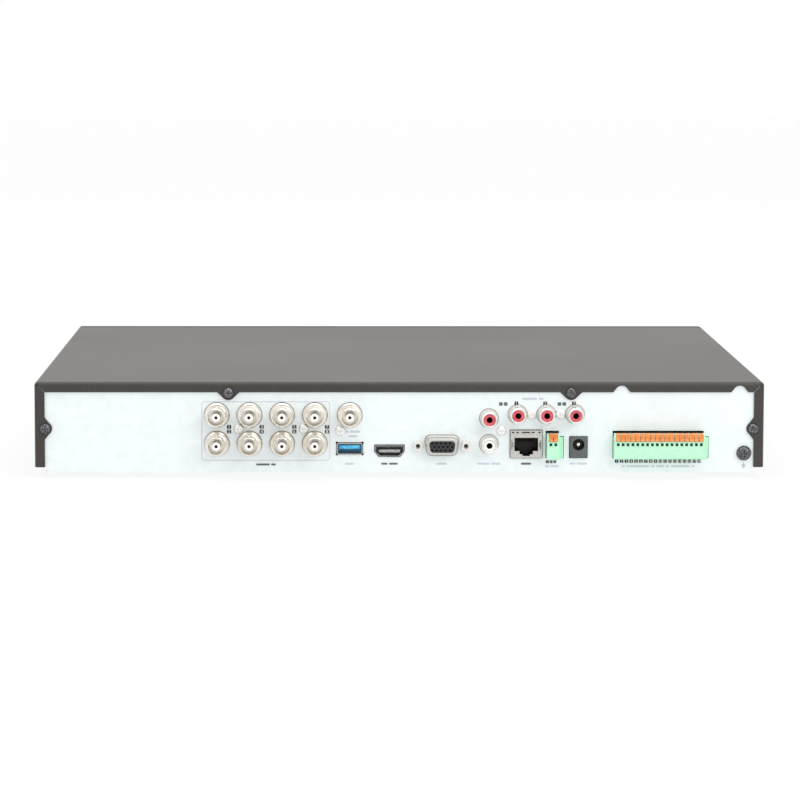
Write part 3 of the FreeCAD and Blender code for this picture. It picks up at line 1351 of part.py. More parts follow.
# ---------------------------------------------------------------- write every node
def main():
    makers = {
        "chassis": make_chassis,
        "top_cover": make_top_cover,
        "cover_screws": make_cover_screws,
        "front_fascia": make_fascia,
        "fascia_window": make_window,
        "rubber_feet": make_feet,
        "ground_screw": make_ground_screw,
        "pan_head_screws": make_pan_head_screws,
        "main_board": make_main_board,
        "board_components": make_board_components,
        "heatsink": make_heatsink,
        "front_board": make_front_board,
        "jack_housings": make_jack_housings,
        "bnc_shells": make_bnc_shells,
        "bnc_insulators": make_bnc_insulators,
        "jack_centre_contacts": make_centre_contacts,
        "phono_sleeves": make_phono_sleeves,
        "data_port_shells": make_data_shells,
        "data_port_tongues": make_data_tongues,
        "digital_video_port_shell": make_digital_shell,
        "digital_video_port_tongue": make_digital_tongue,
        "analog_video_port_shell": make_analog_shell,
        "analog_video_port_insulator": make_analog_insulator,
        "analog_video_jackscrews": make_analog_jackscrews,
        "lan_jack_shield": make_lan_shield,
        "lan_jack_insert": make_lan_insert,
        "dc_jack_body": make_dc_jack,
        "hdd_base": make_drive_base,
        "hdd_lid": make_drive_lid,
        "hdd_platters": make_platters,
        "hdd_actuator": make_actuator,
        "fan_frame": make_fan_frame,
        "fan_rotor": make_fan_rotor,
        "drive_leads": make_drive_leads,
    }
    nodes = {name: make() for name, make in makers.items()}
    upper, lower = phono_stack_places()
    nodes["phono_red_insulators"] = group([phono_insulator(x, z) for x, z in [upper] + phono_row_places()])
    nodes["phono_white_insulator"] = phono_insulator(*lower)
    for kind, inset, poles in (("alarm", alarm_inset, alarm_poles), ("serial", serial_inset, serial_poles)):
        nodes[f"{kind}_header"] = make_header(inset, poles)
        nodes[f"{kind}_plug"] = make_plug(inset, poles)
        for k in range(poles):
            nodes[f"{kind}_lever_{k + 1:02d}"] = make_lever(inset, k)
    os.makedirs("parts", exist_ok=True)
    for name, shape in nodes.items():
        shape.exportStep(f"parts/{name}.step")
        if not shape.isValid():
            print("not valid:", name)
    print(len(nodes), "nodes")


main()
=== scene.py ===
"""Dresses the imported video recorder: finishes for every CAD piece, the print on its rear panel, the small
metal and moulded parts that only show close up, and a pale studio."""

import json
import math

import bmesh
import bpy
import numpy as np
from mathutils import Matrix, Vector


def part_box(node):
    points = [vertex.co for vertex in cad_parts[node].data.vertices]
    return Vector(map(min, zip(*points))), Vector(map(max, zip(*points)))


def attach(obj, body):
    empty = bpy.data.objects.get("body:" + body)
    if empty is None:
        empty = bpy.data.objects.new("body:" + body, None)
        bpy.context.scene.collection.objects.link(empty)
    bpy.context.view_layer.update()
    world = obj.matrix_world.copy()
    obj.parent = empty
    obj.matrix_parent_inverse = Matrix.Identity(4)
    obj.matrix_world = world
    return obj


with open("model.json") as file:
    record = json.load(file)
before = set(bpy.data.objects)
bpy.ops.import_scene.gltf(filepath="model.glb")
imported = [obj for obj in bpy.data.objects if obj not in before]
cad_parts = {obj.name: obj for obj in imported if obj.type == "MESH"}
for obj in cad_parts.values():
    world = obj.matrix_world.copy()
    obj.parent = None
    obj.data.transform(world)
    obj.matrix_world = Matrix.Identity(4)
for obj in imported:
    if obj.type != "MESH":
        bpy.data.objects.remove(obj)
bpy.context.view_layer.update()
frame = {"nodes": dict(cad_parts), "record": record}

bl_info = {
    "name": "Video recorder dress",
    "version": (1, 1, 0),
    "blender": (4, 5, 0),
    "location": "View3D > Sidebar > Recorder",
    "description": "Finishes, print and small parts of a desk-top video recorder",
    "category": "Object",
}

MM = 0.001
METAL = {"Metallic": 1.0}
NOISE_REACH = (0.3, 0.7)    # almost all values of a noise texture lie between these
MOTTLE_STOPS = (0.35, 0.65)     # values of the noise at which a mottle reaches its two colours
CAMERA_COUNT = 8            # coaxial sockets inside the printed line; the one left over is the monitor's
SMALL_BLOCK = {"around": 8, "rings": 5, "smooth": False}    # few faces, for shapes repeated many times
FLAT_BLOCK = {"around": 12, "rings": 5, "smooth": False}


# ------------------------------------------------------------------ places taken from the frame
def node_box(name):
    """Lowest and highest corner of a CAD piece as two numpy arrays."""
    low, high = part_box(name)
    return np.array(low), np.array(high)


def solids_of(name):
    """Boxes of the separate solids of a CAD piece, as (low, high) pairs sorted by X and then by Z. Corners
    that coincide are welded, and each takes the lowest label of its triangles until no label changes."""
    mesh = frame["nodes"][name].data
    points = np.empty(len(mesh.vertices) * 3, np.float32)
    mesh.vertices.foreach_get("co", points)
    points = points.reshape(-1, 3)
    corners = np.empty(len(mesh.loops), np.int32)
    mesh.loops.foreach_get("vertex_index", corners)
    weld_size = 0.0005 * MM
    keys = np.round(points / weld_size).astype(np.int64)
    unique, welded = np.unique(keys, axis=0, return_inverse=True)
    welded = welded.reshape(-1)
    triangles = welded[corners].reshape(-1, 3)
    label = np.arange(len(unique))
    while True:
        lowest = label[triangles].min(axis=1)
        before = label.copy()
        for corner in range(3):
            np.minimum.at(label, triangles[:, corner], lowest)
        label = label[label]
        if np.array_equal(label, before):
            break
    owner = label[welded]
    boxes = []
    for root in np.unique(owner):
        mine = points[owner == root]
        boxes.append((mine.min(axis=0).astype(float), mine.max(axis=0).astype(float)))
    places = 4      # decimals of a metre, which takes solids of one row or column as level
    return sorted(boxes, key=lambda pair: (round(pair[0][0], places), round(pair[0][2], places)))


def centre_of(box):
    """Middle of a (low, high) pair."""
    return (box[0] + box[1]) / 2


def x_of(name):
    """X of the middle of a CAD piece."""
    return centre_of(node_box(name))[0]


def panel_face():
    """Y of the rear panel's outer face."""
    return float(node_box("chassis")[0][1])


def parts_on_front_board():
    """Boxes of the lamps and the receiver: every solid of the front board but the widest, the board."""
    return sorted(solids_of("front_board"), key=lambda box: box[1][0] - box[0][0])[:-1]


# ------------------------------------------------------------------ colour and node helpers
def linear(code, alpha=1.0):
    """sRGB hex code to the linear colour that shaders take."""
    channels = [int(code[k:k + 2], 16) / 255 for k in (1, 3, 5)]
    lit = [c / 12.92 if c <= 0.04045 else ((c + 0.055) / 1.055) ** 2.4 for c in channels]
    return (*lit, alpha)


def add(tree, kind, feeds=None, **attributes):
    """Adds one node. Feeds maps an input to a value or to a (node, output) pair."""
    made = tree.nodes.new(kind)
    for key, value in attributes.items():
        setattr(made, key, value)
    for key, value in (feeds or {}).items():
        if isinstance(value, tuple) and isinstance(value[0], bpy.types.Node):
            tree.links.new(value[0].outputs[value[1]], made.inputs[key])
        else:
            made.inputs[key].default_value = value
    return made


def blank(name):
    """Material with an empty node tree, and that tree."""
    material = bpy.data.materials.new(name)
    material.use_nodes = True
    material.node_tree.nodes.clear()
    return material, material.node_tree


def finish(tree, feeds):
    """Closes a tree with a Principled shader that takes the feeds."""
    shader = add(tree, "ShaderNodeBsdfPrincipled", feeds)
    add(tree, "ShaderNodeOutputMaterial", {"Surface": (shader, "BSDF")})


def textured(tree, kind, grain_mm, feeds=None, **attributes):
    """Texture whose unit is a grain of the given size in mm in each direction of the object."""
    place = add(tree, "ShaderNodeTexCoord")
    scale = [1 / (size * MM) for size in grain_mm]
    scaled = add(tree, "ShaderNodeMapping", {"Vector": (place, "Object"), "Scale": scale})
    return add(tree, kind, {"Vector": (scaled, "Vector"), "Scale": 1.0, **(feeds or {})}, **attributes)


def mottle(tree, low, high, grain_mm, rough, bump_mm=0.0, detail=4.0):
    """Feeds for a shader from one noise of a real grain size: colour between two codes, gloss and height."""
    noise = textured(tree, "ShaderNodeTexNoise", grain_mm, {"Detail": detail})
    ramp = add(tree, "ShaderNodeValToRGB", {"Fac": (noise, "Fac")})
    for stop, place, code in zip(ramp.color_ramp.elements, MOTTLE_STOPS, (low, high)):
        stop.position = place
        stop.color = linear(code)
    gloss = add(tree, "ShaderNodeMapRange", {"Value": (noise, "Fac"), "From Min": NOISE_REACH[0],
                                             "From Max": NOISE_REACH[1], "To Min": rough[0],
                                             "To Max": rough[1]})
    bump = add(tree, "ShaderNodeBump", {"Height": (noise, "Fac"), "Distance": bump_mm * MM})
    return {"Base Color": (ramp, "Color"), "Roughness": (gloss, "Result"), "Normal": (bump, "Normal")}


def skin(name, low, high, grain_mm, rough, bump_mm=0.0, plain=None):
    """Material with one mottled skin. Plain holds values for the shader's own sockets."""
    material, tree = blank(name)
    finish(tree, {**mottle(tree, low, high, grain_mm, rough, bump_mm), **(plain or {})})
    return material


def within(tree, low, high, is_round=False):
    """1 inside an upright box of the object's space, 0 outside: the largest of |p - middle| / half size is
    under 1. A round mask takes the length of that vector instead, which fills the ellipsoid in the box."""
    middle, half = (low + high) / 2, (high - low) / 2
    place = add(tree, "ShaderNodeTexCoord")
    away = add(tree, "ShaderNodeVectorMath", {0: (place, "Object"), 1: middle}, operation="SUBTRACT")
    share = add(tree, "ShaderNodeVectorMath", {0: (away, "Vector"), 1: half}, operation="DIVIDE")
    if is_round:
        reach = add(tree, "ShaderNodeVectorMath", {0: (share, "Vector")}, operation="LENGTH")
        return add(tree, "ShaderNodeMath", {0: (reach, "Value"), 1: 1.0}, operation="LESS_THAN")
    size = add(tree, "ShaderNodeVectorMath", {0: (share, "Vector")}, operation="ABSOLUTE")
    axes = add(tree, "ShaderNodeSeparateXYZ", {"Vector": (size, "Vector")})
    wide = add(tree, "ShaderNodeMath", {0: (axes, "X"), 1: (axes, "Y")}, operation="MAXIMUM")
    most = add(tree, "ShaderNodeMath", {0: (wide, "Value"), 1: (axes, "Z")}, operation="MAXIMUM")
    return add(tree, "ShaderNodeMath", {0: (most, "Value"), 1: 1.0}, operation="LESS_THAN")


def changed(tree, feeds, mask, code, values=None):
    """Feeds that turn to another colour, and other (outside, inside) values, where the mask is 1."""
    mixed = add(tree, "ShaderNodeMix", {"Factor": (mask, "Value"), "A": feeds["Base Color"],
                                        "B": linear(code)}, data_type="RGBA")
    made = {**feeds, "Base Color": (mixed, "Result")}
    for key, (outside, inside) in (values or {}).items():
        value = add(tree, "ShaderNodeMapRange", {"Value": (mask, "Value"), "To Min": outside,
                                                 "To Max": inside})
        made[key] = (value, "Result")
    return made


# ------------------------------------------------------------------ materials
def plated_sheet():
    """Electro-galvanised sheet steel, cold rolled and zinc plated: it looks near white and satin, with
    faint crystals a few mm wide and fainter rolling lines along X."""
    material, tree = blank("electro_galvanised_steel")
    crystals = textured(tree, "ShaderNodeTexVoronoi", (4.0, 4.0, 4.0))
    rolled = textured(tree, "ShaderNodeTexNoise", (60.0, 0.5, 0.5), {"Detail": 3.0})
    both = add(tree, "ShaderNodeMix", {"Factor": 0.55, "A": (crystals, "Color"), "B": (rolled, "Fac")},
               data_type="FLOAT")
    ramp = add(tree, "ShaderNodeValToRGB", {"Fac": (both, "Result")})
    ramp.color_ramp.elements[0].color = linear(colours().panel_shade)
    ramp.color_ramp.elements[1].color = linear(colours().panel_tint)
    gloss = add(tree, "ShaderNodeMapRange", {"Value": (both, "Result"), "To Min": 0.40, "To Max": 0.52})
    bump = add(tree, "ShaderNodeBump", {"Height": (rolled, "Fac"), "Distance": 0.004 * MM})
    finish(tree, {"Base Color": (ramp, "Color"), "Roughness": (gloss, "Result"), "Normal": (bump, "Normal"),
                  "Metallic": 0.35})
    return material


def cover_paint():
    """Epoxy powder coat baked on steel: it looks warm dark grey with an orange-peel skin, fine pale flecks
    and a broad, barely visible change of shade. The peel is drawn at 0.9 mm so that it shows."""
    material, tree = blank("grey_powder_coat")
    feeds = mottle(tree, colours().cover_shade, colours().cover_tint, (120.0, 120.0, 120.0), (0.42, 0.46),
                   detail=1.0)
    peel = textured(tree, "ShaderNodeTexNoise", (0.9, 0.9, 0.9), {"Detail": 2.0})
    bump = add(tree, "ShaderNodeBump", {"Height": (peel, "Fac"), "Distance": 0.03 * MM, "Strength": 0.5})
    flecks = textured(tree, "ShaderNodeTexNoise", (0.45, 0.45, 0.45), {"Detail": 1.0})
    mask = add(tree, "ShaderNodeMapRange", {"Value": (flecks, "Fac"), "From Min": 0.62, "From Max": 0.74,
                                            "To Min": 0.0, "To Max": 0.25})
    mixed = add(tree, "ShaderNodeMix", {"Factor": (mask, "Result"), "A": feeds["Base Color"],
                                        "B": linear("#8C8982")}, data_type="RGBA")
    finish(tree, {**feeds, "Base Color": (mixed, "Result"), "Normal": (bump, "Normal"), "IOR": 1.42,
                  "Sheen Weight": 0.03, "Sheen Roughness": 0.4, "Sheen Tint": linear("#E8BC80")})
    return material


def black_zinc_screw():
    """Steel screw, cold headed and plated with black zinc: it looks dark, with paler rubs."""
    return skin("black_zinc_plate", "#1F1F21", "#8E8E92", (0.55, 0.55, 0.55), (0.20, 0.36), 0.01,
                METAL)


def nickel_screw():
    """Steel screw, cold headed and nickel plated: it looks pale and fairly bright, with soft patches."""
    return skin("nickel_plated_screw", "#F0EFEC", "#FDFCFA", (1.2, 1.2, 1.2), (0.34, 0.46), 0.004,
                METAL)


def jackscrews():
    """Nickel-plated threaded post: it looks pale, and the inside of its threaded hole is painted dark as
    shade.
    """
    material, tree = blank("nickel_plated_post")
    feeds = {**mottle(tree, "#D8D5CE", "#F0EEE9", (1.0, 1.0, 1.0), (0.24, 0.36), 0.004), **METAL}
    painted_shade_radius = 1.1 * MM
    past_both_ends = 1000 * MM
    for low, high in solids_of("analog_video_jackscrews"):
        middle = (low + high) / 2
        reach = np.array([painted_shade_radius, past_both_ends, painted_shade_radius])
        # painted shade: a dark cylinder along Y through each post, inside its threaded hole
        mask = within(tree, middle - reach, middle + reach, is_round=True)
        feeds = changed(tree, feeds, mask, "#3A3835")
    finish(tree, feeds)
    return material


def nickel_shell():
    """Brass turned on a lathe and nickel plated: it looks warm and pale, with fine rings along its axis."""
    return skin("nickel_plated_turning", "#DAD4C8", "#F6F2EA", (6.0, 0.25, 6.0), (0.20, 0.34), 0.006,
                METAL)


def phono_shell():
    """Brass sleeve turned and bright nickel plated: it looks almost white, with faint lathe rings."""
    return skin("bright_nickel_sleeve", "#E2E0DA", "#F8F7F4", (5.0, 0.25, 5.0), (0.22, 0.34), 0.005,
                METAL)


def tin_shell():
    """Steel strip stamped and tin plated: it looks grey and softly bright, with drawn lines along it."""
    return skin("tin_plated_stamping", "#B3B1AC", "#D8D6D1", (0.5, 8.0, 0.5), (0.30, 0.44), 0.004,
                METAL)


def steel_shell():
    """Stainless strip, folded: it looks a darker, colder grey than tin, with drawn lines along it."""
    return skin("stainless_stamping", "#77787A", "#A9A9A9", (0.5, 8.0, 0.5), (0.26, 0.40), 0.004,
                METAL)


def contact_brass():
    """Phosphor bronze strip with a gold flash: it looks yellow and fairly bright."""
    return skin("gold_flashed_bronze", "#C79A45", "#E6C67C", (0.8, 0.3, 0.8), (0.18, 0.30), 0.003,
                METAL)


def centre_contacts():
    """Bronze spring sockets, coloured near black: the colour is painted shade down their bores. The power pin
    is nickel plated and looks bright."""
    material, tree = blank("oxidised_bronze")
    # the near-black colour of the sockets is painted shade down their bores
    feeds = mottle(tree, "#0E0E0F", "#232221", (0.8, 0.3, 0.8), (0.30, 0.45), 0.003)
    low, high = node_box("dc_jack_body")
    around = 2 * MM
    pin = within(tree, low - around, high + around)
    finish(tree, changed(tree, feeds, pin, "#EFEDEA", {"Metallic": (0.3, 1.0)}))
    return material


def heatsink_aluminium():
    """Aluminium pushed through a die: it looks satin pale grey, with die lines along Y."""
    return skin("extruded_aluminium", "#B4B6B9", "#D3D5D7", (0.4, 30.0, 0.4), (0.34, 0.46), 0.006,
                METAL)


def drive_casting():
    """Aluminium cast in a die: it looks grainy and duller than sheet."""
    return skin("die_cast_aluminium", "#8C8E90", "#A6A8AA", (0.8, 0.8, 0.8), (0.46, 0.62), 0.02,
                METAL)


def drive_lid_steel():
    """Steel sheet, brushed and stamped: it looks satin, with lines along X."""
    return skin("brushed_steel_lid", "#B3B5B7", "#D0D2D4", (25.0, 0.3, 0.3), (0.30, 0.42), 0.004,
                METAL)


def platter_mirror():
    """Glass disc with a sputtered metal film: it looks like a near-perfect mirror."""
    return skin("polished_disc", "#D9DADC", "#E2E3E5", (20.0, 20.0, 20.0), (0.03, 0.06), plain=METAL)


def fascia_plastic():
    """ABS moulded in a spark-textured tool: it looks near black and matt, with a fine pebble."""
    return skin("textured_abs", "#151618", "#1E1F22", (0.35, 0.35, 0.35), (0.48, 0.60), 0.02,
                {"IOR": 1.53})


def smoked_window():
    """Acrylic moulded with a dark dye: it looks glossy and black, just see-through where it is lit."""
    return skin("smoked_acrylic", "#0B0C0F", "#141519", (60.0, 60.0, 60.0), (0.05, 0.08),
                plain={"IOR": 1.49, "Transmission Weight": 0.55, "Coat Weight": 0.4,
                       "Coat Roughness": 0.02})


def foot_rubber():
    """Rubber pressed in a mould: it looks black, dry and slightly dusty."""
    return skin("moulded_rubber", "#121212", "#232322", (1.5, 1.5, 1.5), (0.78, 0.92), 0.03, {"IOR": 1.52})


def housing_black():
    """Glass-filled PBT, moulded: it looks black with a dry, faintly fibrous skin."""
    return skin("glass_filled_pbt", "#0D0D0E", "#1B1B1C", (0.6, 0.6, 0.6), (0.42, 0.58), 0.008,
                {"IOR": 1.55})


def housing_pale():
    """Unpigmented PBT, moulded: it looks pale warm grey and slightly waxy."""
    return skin("natural_pbt", "#CFCDC7", "#E2E0DA", (0.8, 0.8, 0.8), (0.36, 0.50), 0.006, {"IOR": 1.55})


def tongue_grey():
    """Liquid-crystal polymer, moulded: it looks mid grey with a satin flow pattern."""
    return skin("grey_lcp", "#8A8B8C", "#B4B5B6", (1.0, 3.0, 1.0), (0.34, 0.48), 0.004, {"IOR": 1.6})


def fan_black():
    """PBT moulded in a polished tool: it looks black and a little glossy."""
    return skin("moulded_pbt", "#101011", "#1A1A1B", (3.0, 3.0, 3.0), (0.30, 0.42), 0.006, {"IOR": 1.55})


def dc_grey():
    """Nylon moulding: it looks mid grey and satin."""
    return skin("grey_nylon", "#4E5052", "#5E6062", (0.8, 0.8, 0.8), (0.40, 0.55), 0.008, {"IOR": 1.53})


def jack_white():
    """PTFE turned from rod: it looks white, waxy and slightly warm."""
    return skin("white_ptfe", "#F1EEE6", "#FCFAF5", (1.2, 1.2, 1.2), (0.32, 0.42),
                plain={"IOR": 1.38, "Subsurface Weight": 0.15, "Subsurface Scale": 0.001})


def jack_red():
    """Dyed polyamide, moulded: it looks glossy and saturated."""
    return skin("red_polyamide", colours().red_shade, colours().red_tint, (1.5, 1.5, 1.5), (0.24, 0.34),
                plain={"IOR": 1.53})


def data_blue():
    """Dyed liquid-crystal polymer, moulded: it looks bright blue with a satin flow pattern."""
    return skin("blue_lcp", colours().tongue_shade, colours().tongue_tint, (2.0, 2.0, 2.0), (0.20, 0.30),
                plain={"IOR": 1.6})


def terminal_green():
    """Polyamide of pluggable terminals, moulded: it looks light green, clean and slightly translucent."""
    return skin("green_polyamide", colours().terminal_shade, colours().terminal_tint, (2.0, 2.0, 2.0),
                (0.34, 0.46), 0.004, {"IOR": 1.53, "Subsurface Weight": 0.12, "Subsurface Scale": 0.0015})


def lever_orange():
    """Dyed polyamide, moulded: it looks orange, glossy and saturated."""
    return skin("orange_polyamide", colours().lever_shade, colours().lever_tint, (1.0, 1.0, 2.5),
                (0.22, 0.34), 0.004, {"IOR": 1.53})


def lead_red():
    """PVC sheath drawn over wire: it looks red and satin. The plugs moulded on its ends are black."""
    material, tree = blank("pvc_sheath")
    low, high = node_box("drive_leads")
    feeds = mottle(tree, "#8E1414", "#B42020", (1.5, 1.5, 1.5), (0.34, 0.50), 0.01)
    plug_length = 10.8 * MM
    for end, inner in ((low[1], low[1] + plug_length), (high[1] - plug_length, high[1])):
        from_corner = np.array([low[0], end, low[2]]) - MM
        to_corner = np.array([high[0], inner, high[2]]) + np.array([MM, 0, MM])
        feeds = changed(tree, feeds, within(tree, from_corner, to_corner), "#161617")
    finish(tree, feeds)
    return material


def board_laminate():
    """Glass-epoxy board with etched copper under a sprayed green mask: it looks deep green, lighter where
    copper runs beneath, with pale plated dots at the holes."""
    material, tree = blank("solder_mask_green")
    bricks = textured(tree, "ShaderNodeTexBrick", (2.2, 2.2, 2.2),
                      {"Color1": (1, 1, 1, 1), "Color2": (0.5, 0.5, 0.5, 1), "Mortar": (0, 0, 0, 1),
                       "Mortar Size": 0.14, "Brick Width": 3.0, "Row Height": 0.45})
    blotch = textured(tree, "ShaderNodeTexVoronoi", (14.0, 14.0, 14.0), distance="CHEBYCHEV")
    mask = add(tree, "ShaderNodeMath", {0: (bricks, "Color"), 1: (blotch, "Distance")}, operation="MULTIPLY")
    track = add(tree, "ShaderNodeMapRange", {"Value": (mask, "Value"), "From Min": 0.2, "From Max": 0.28})
    green = add(tree, "ShaderNodeMix", {"Factor": (track, "Result"), "A": linear("#0E3F22"),
                                        "B": linear("#1C6A38")}, data_type="RGBA")
    holes = textured(tree, "ShaderNodeTexVoronoi", (3.1, 3.1, 3.1))
    dots = add(tree, "ShaderNodeMath", {0: (holes, "Distance"), 1: 0.13}, operation="LESS_THAN")
    dotted = add(tree, "ShaderNodeMix", {"Factor": (dots, "Value"), "A": (green, "Result"),
                                         "B": linear("#C9C4B4")}, data_type="RGBA")
    gloss = add(tree, "ShaderNodeMapRange", {"Value": (track, "Result"), "To Min": 0.24, "To Max": 0.34})
    bump = add(tree, "ShaderNodeBump", {"Height": (track, "Result"), "Distance": 0.03 * MM})
    finish(tree, {"Base Color": (dotted, "Result"), "Roughness": (gloss, "Result"),
                  "Normal": (bump, "Normal")})
    return material


def component_black():
    """Packages moulded in filled epoxy: they look black and dry. The cans are drawn aluminium with a
    plastic sleeve and show bright tops, the coin cell is bright steel, and the board sockets are cream
    nylon. The solids are told apart by their sizes: the cans are the tallest."""
    material, tree = blank("moulded_epoxy")
    feeds = mottle(tree, "#131314", "#262628", (0.5, 0.5, 0.5), (0.36, 0.54), 0.01)
    solids = solids_of("board_components")
    tallest = max(high[2] for low, high in solids)
    slack, can_top = 0.2 * MM, 0.45 * MM
    least_cell_width, cell_heights, socket_heights = 19 * MM, (4 * MM, 5 * MM), (6.5 * MM, 8 * MM)
    bright, cream = [], []
    for low, high in solids:
        width, depth, height = high - low
        if abs(high[2] - tallest) < slack:
            bright.append((np.array([low[0], low[1], high[2] - can_top]), high))
        elif width > least_cell_width and cell_heights[0] < height < cell_heights[1]:
            bright.append((low, high))
        elif socket_heights[0] < height < socket_heights[1]:
            cream.append((low, high))
    for low, high in cream:
        feeds = changed(tree, feeds, within(tree, low - slack, high + slack), "#D9D2BC")
    masks = [within(tree, low - slack, high + slack) for low, high in bright]
    for mask in masks:
        feeds = changed(tree, feeds, mask, "#C4C6C8")
    shine = masks[0]
    for mask in masks[1:]:
        shine = add(tree, "ShaderNodeMath", {0: (shine, "Value"), 1: (mask, "Value")},
                    operation="MAXIMUM")
    finish(tree, {**feeds, "Metallic": (shine, "Value")})
    return material


def front_board_mix():
    """Green laminate like the main board's. The lamps on it are clear green resin and the receiver is black
    epoxy, so both look glossy."""
    material, tree = blank("front_board_laminate")
    feeds = mottle(tree, "#0E3F22", "#1C6A38", (1.6, 1.6, 1.6), (0.26, 0.36), 0.02)
    slack, lamp_width = 0.05 * MM, 5.5 * MM
    for low, high in parts_on_front_board():
        code = "#6FD98A" if high[0] - low[0] < lamp_width else "#0C0C0D"
        feeds = changed(tree, feeds, within(tree, low - slack, high + slack), code)
    finish(tree, feeds)
    return material


def panel_ink(name, code):
    """Epoxy ink pressed through a screen: it looks flat and matt, with slightly uneven cover."""
    return skin(name, code, code, (0.3, 0.3, 0.3), (0.5, 0.7), 0.002)


def label_paper():
    """Coated label paper: it looks off-white and matt."""
    return skin("label_paper", "#E6E4DD", "#F4F2EC", (0.6, 0.6, 0.6), (0.6, 0.75), 0.004)


def studio_floor():
    """Opal light-table sheet: it looks pale and keeps shadows under the case soft."""
    return skin("opal_sheet", "#5E5E5E", "#626262", (40.0, 40.0, 40.0), (0.7, 0.8),
                plain={"Emission Color": (1, 1, 1, 1), "Emission Strength": sizes().floor_glow,
                       "Specular IOR Level": 0.1})


SLOT_MAKERS = {maker.__name__: maker for maker in (
    plated_sheet, cover_paint, black_zinc_screw, nickel_screw, fascia_plastic, smoked_window, foot_rubber,
    board_laminate, component_black, heatsink_aluminium, housing_black, nickel_shell, tin_shell, jack_white,
    jack_red, contact_brass, data_blue, dc_grey, terminal_green, lever_orange, drive_casting,
    drive_lid_steel, platter_mirror, fan_black, lead_red)}
OWN_MAKERS = {      # pieces whose finish differs from their slot's
    "jack_housings": housing_pale, "jack_centre_contacts": centre_contacts, "phono_sleeves": phono_shell,
    "analog_video_jackscrews": jackscrews, "digital_video_port_shell": steel_shell,
    "digital_video_port_tongue": tongue_grey, "front_board": front_board_mix,
}


def material_from(maker):
    """The one material that a maker gives, made the first time that it is asked for."""
    known = {material["maker"]: material for material in bpy.data.materials if "maker" in material}
    if maker.__name__ not in known:
        material = maker()
        material["maker"] = maker.__name__
        return material
    return known[maker.__name__]


# ------------------------------------------------------------------ surfaces
def sheet_faces(rows, columns, wrap_rows, wrap_columns):
    """Quads of a grid of points, as indices; a wrapped direction closes on itself."""
    r = np.arange(rows if wrap_rows else rows - 1)
    c = np.arange(columns if wrap_columns else columns - 1)
    r, c = np.meshgrid(r, c, indexing="ij")
    r2, c2 = (r + 1) % rows, (c + 1) % columns
    quads = np.stack([r * columns + c, r * columns + c2, r2 * columns + c2, r2 * columns + c], axis=-1)
    return quads.reshape(-1, 4)


def placed(name, mesh, body, material):
    """Puts a finished mesh in the scene as a piece of the model."""
    mesh.materials.append(material)
    piece = bpy.data.objects.new(name, mesh)
    bpy.context.scene.collection.objects.link(piece)
    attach(piece, body)
    return piece


def mesh_from(name, points, quads, caps, smooth):
    """Closed mesh from whole arrays, its faces turned outwards. Caps are index loops that close open ends."""
    mesh = bpy.data.meshes.new(name)
    mesh.from_pydata(points.reshape(-1, 3).tolist(), [], quads.tolist() + [list(loop) for loop in caps])
    work = bmesh.new()
    work.from_mesh(mesh)
    bmesh.ops.recalc_face_normals(work, faces=work.faces)
    work.to_mesh(mesh)
    work.free()
    mesh.polygons.foreach_set("use_smooth", np.full(len(mesh.polygons), smooth))
    return mesh


def pillows(name, centres, half_sizes, square, body, slot, material, around=16, rings=7, smooth=True):
    """Rounded blocks, all in one mesh. Each is a superellipsoid: x = a*C(v)*C(u), y = b*C(v)*S(u),
    z = c*S(v), where C and S are cosine and sine raised to a small power, which squares the form up."""
    u = np.linspace(0, 2 * math.pi, around, endpoint=False)
    v = np.linspace(-math.pi / 2, math.pi / 2, rings)
    v, u = np.meshgrid(v, u, indexing="ij")

    def power(wave):
        """The wave raised to the small power, with its sign kept."""
        return np.sign(wave) * np.abs(wave) ** square

    unit = np.stack([power(np.cos(v)) * power(np.cos(u)), power(np.cos(v)) * power(np.sin(u)),
                     power(np.sin(v))], axis=-1)
    tips = np.array([[0, 0, -1.0], [0, 0, 1.0]])
    shape = np.concatenate([unit[1:-1].reshape(-1, 3), tips])
    centres = np.asarray(centres, float).reshape(-1, 1, 3)
    half_sizes = np.broadcast_to(np.asarray(half_sizes, float).reshape(-1, 1, 3), (len(centres), 1, 3))
    points = centres + half_sizes * shape
    belt = sheet_faces(rings - 2, around, False, True)
    count = len(shape)
    k = np.arange(around)
    last = (rings - 3) * around
    bottom = np.stack([np.full(around, count - 2), (k + 1) % around, k], axis=-1)
    top = np.stack([np.full(around, count - 1), last + k, last + (k + 1) % around], axis=-1)
    shift = np.arange(len(centres)) * count
    quads = (belt[None] + shift[:, None, None]).reshape(-1, 4)
    triangles = (np.concatenate([bottom, top])[None] + shift[:, None, None]).reshape(-1, 3)
    mesh = mesh_from(name, points, quads, triangles.tolist(), smooth)
    return placed(name, mesh, body, material)


def run_along(name, paths, profile, side, body, material, closed=False, smooth=True):
    """A flat profile carried along paths: point = path + p*side + q*(tangent x side). Paths are (n, 3)
    arrays, and side is the direction that the profile's first coordinate keeps."""
    all_points, quads, caps = [], [], []
    offset = 0
    profile = np.asarray(profile, float)
    for path in paths:
        path = np.asarray(path, float)
        ahead = np.roll(path, -1, axis=0) - np.roll(path, 1, axis=0)
        if not closed:
            ahead[0], ahead[-1] = path[1] - path[0], path[-1] - path[-2]
        ahead /= np.linalg.norm(ahead, axis=1, keepdims=True)
        across = np.broadcast_to(np.asarray(side, float), ahead.shape)
        normal = np.cross(ahead, across)
        normal /= np.linalg.norm(normal, axis=1, keepdims=True)
        points = (path[:, None] + profile[None, :, :1] * across[:, None]
                  + profile[None, :, 1:] * normal[:, None])
        rows, columns = points.shape[:2]
        all_points.append(points.reshape(-1, 3))
        quads.append(sheet_faces(rows, columns, closed, True) + offset)
        if not closed:
            caps.append((np.arange(columns)[::-1] + offset).tolist())
            caps.append((np.arange(columns) + (rows - 1) * columns + offset).tolist())
        offset += rows * columns
    mesh = mesh_from(name, np.concatenate(all_points), np.concatenate(quads), caps, smooth)
    return placed(name, mesh, body, material)


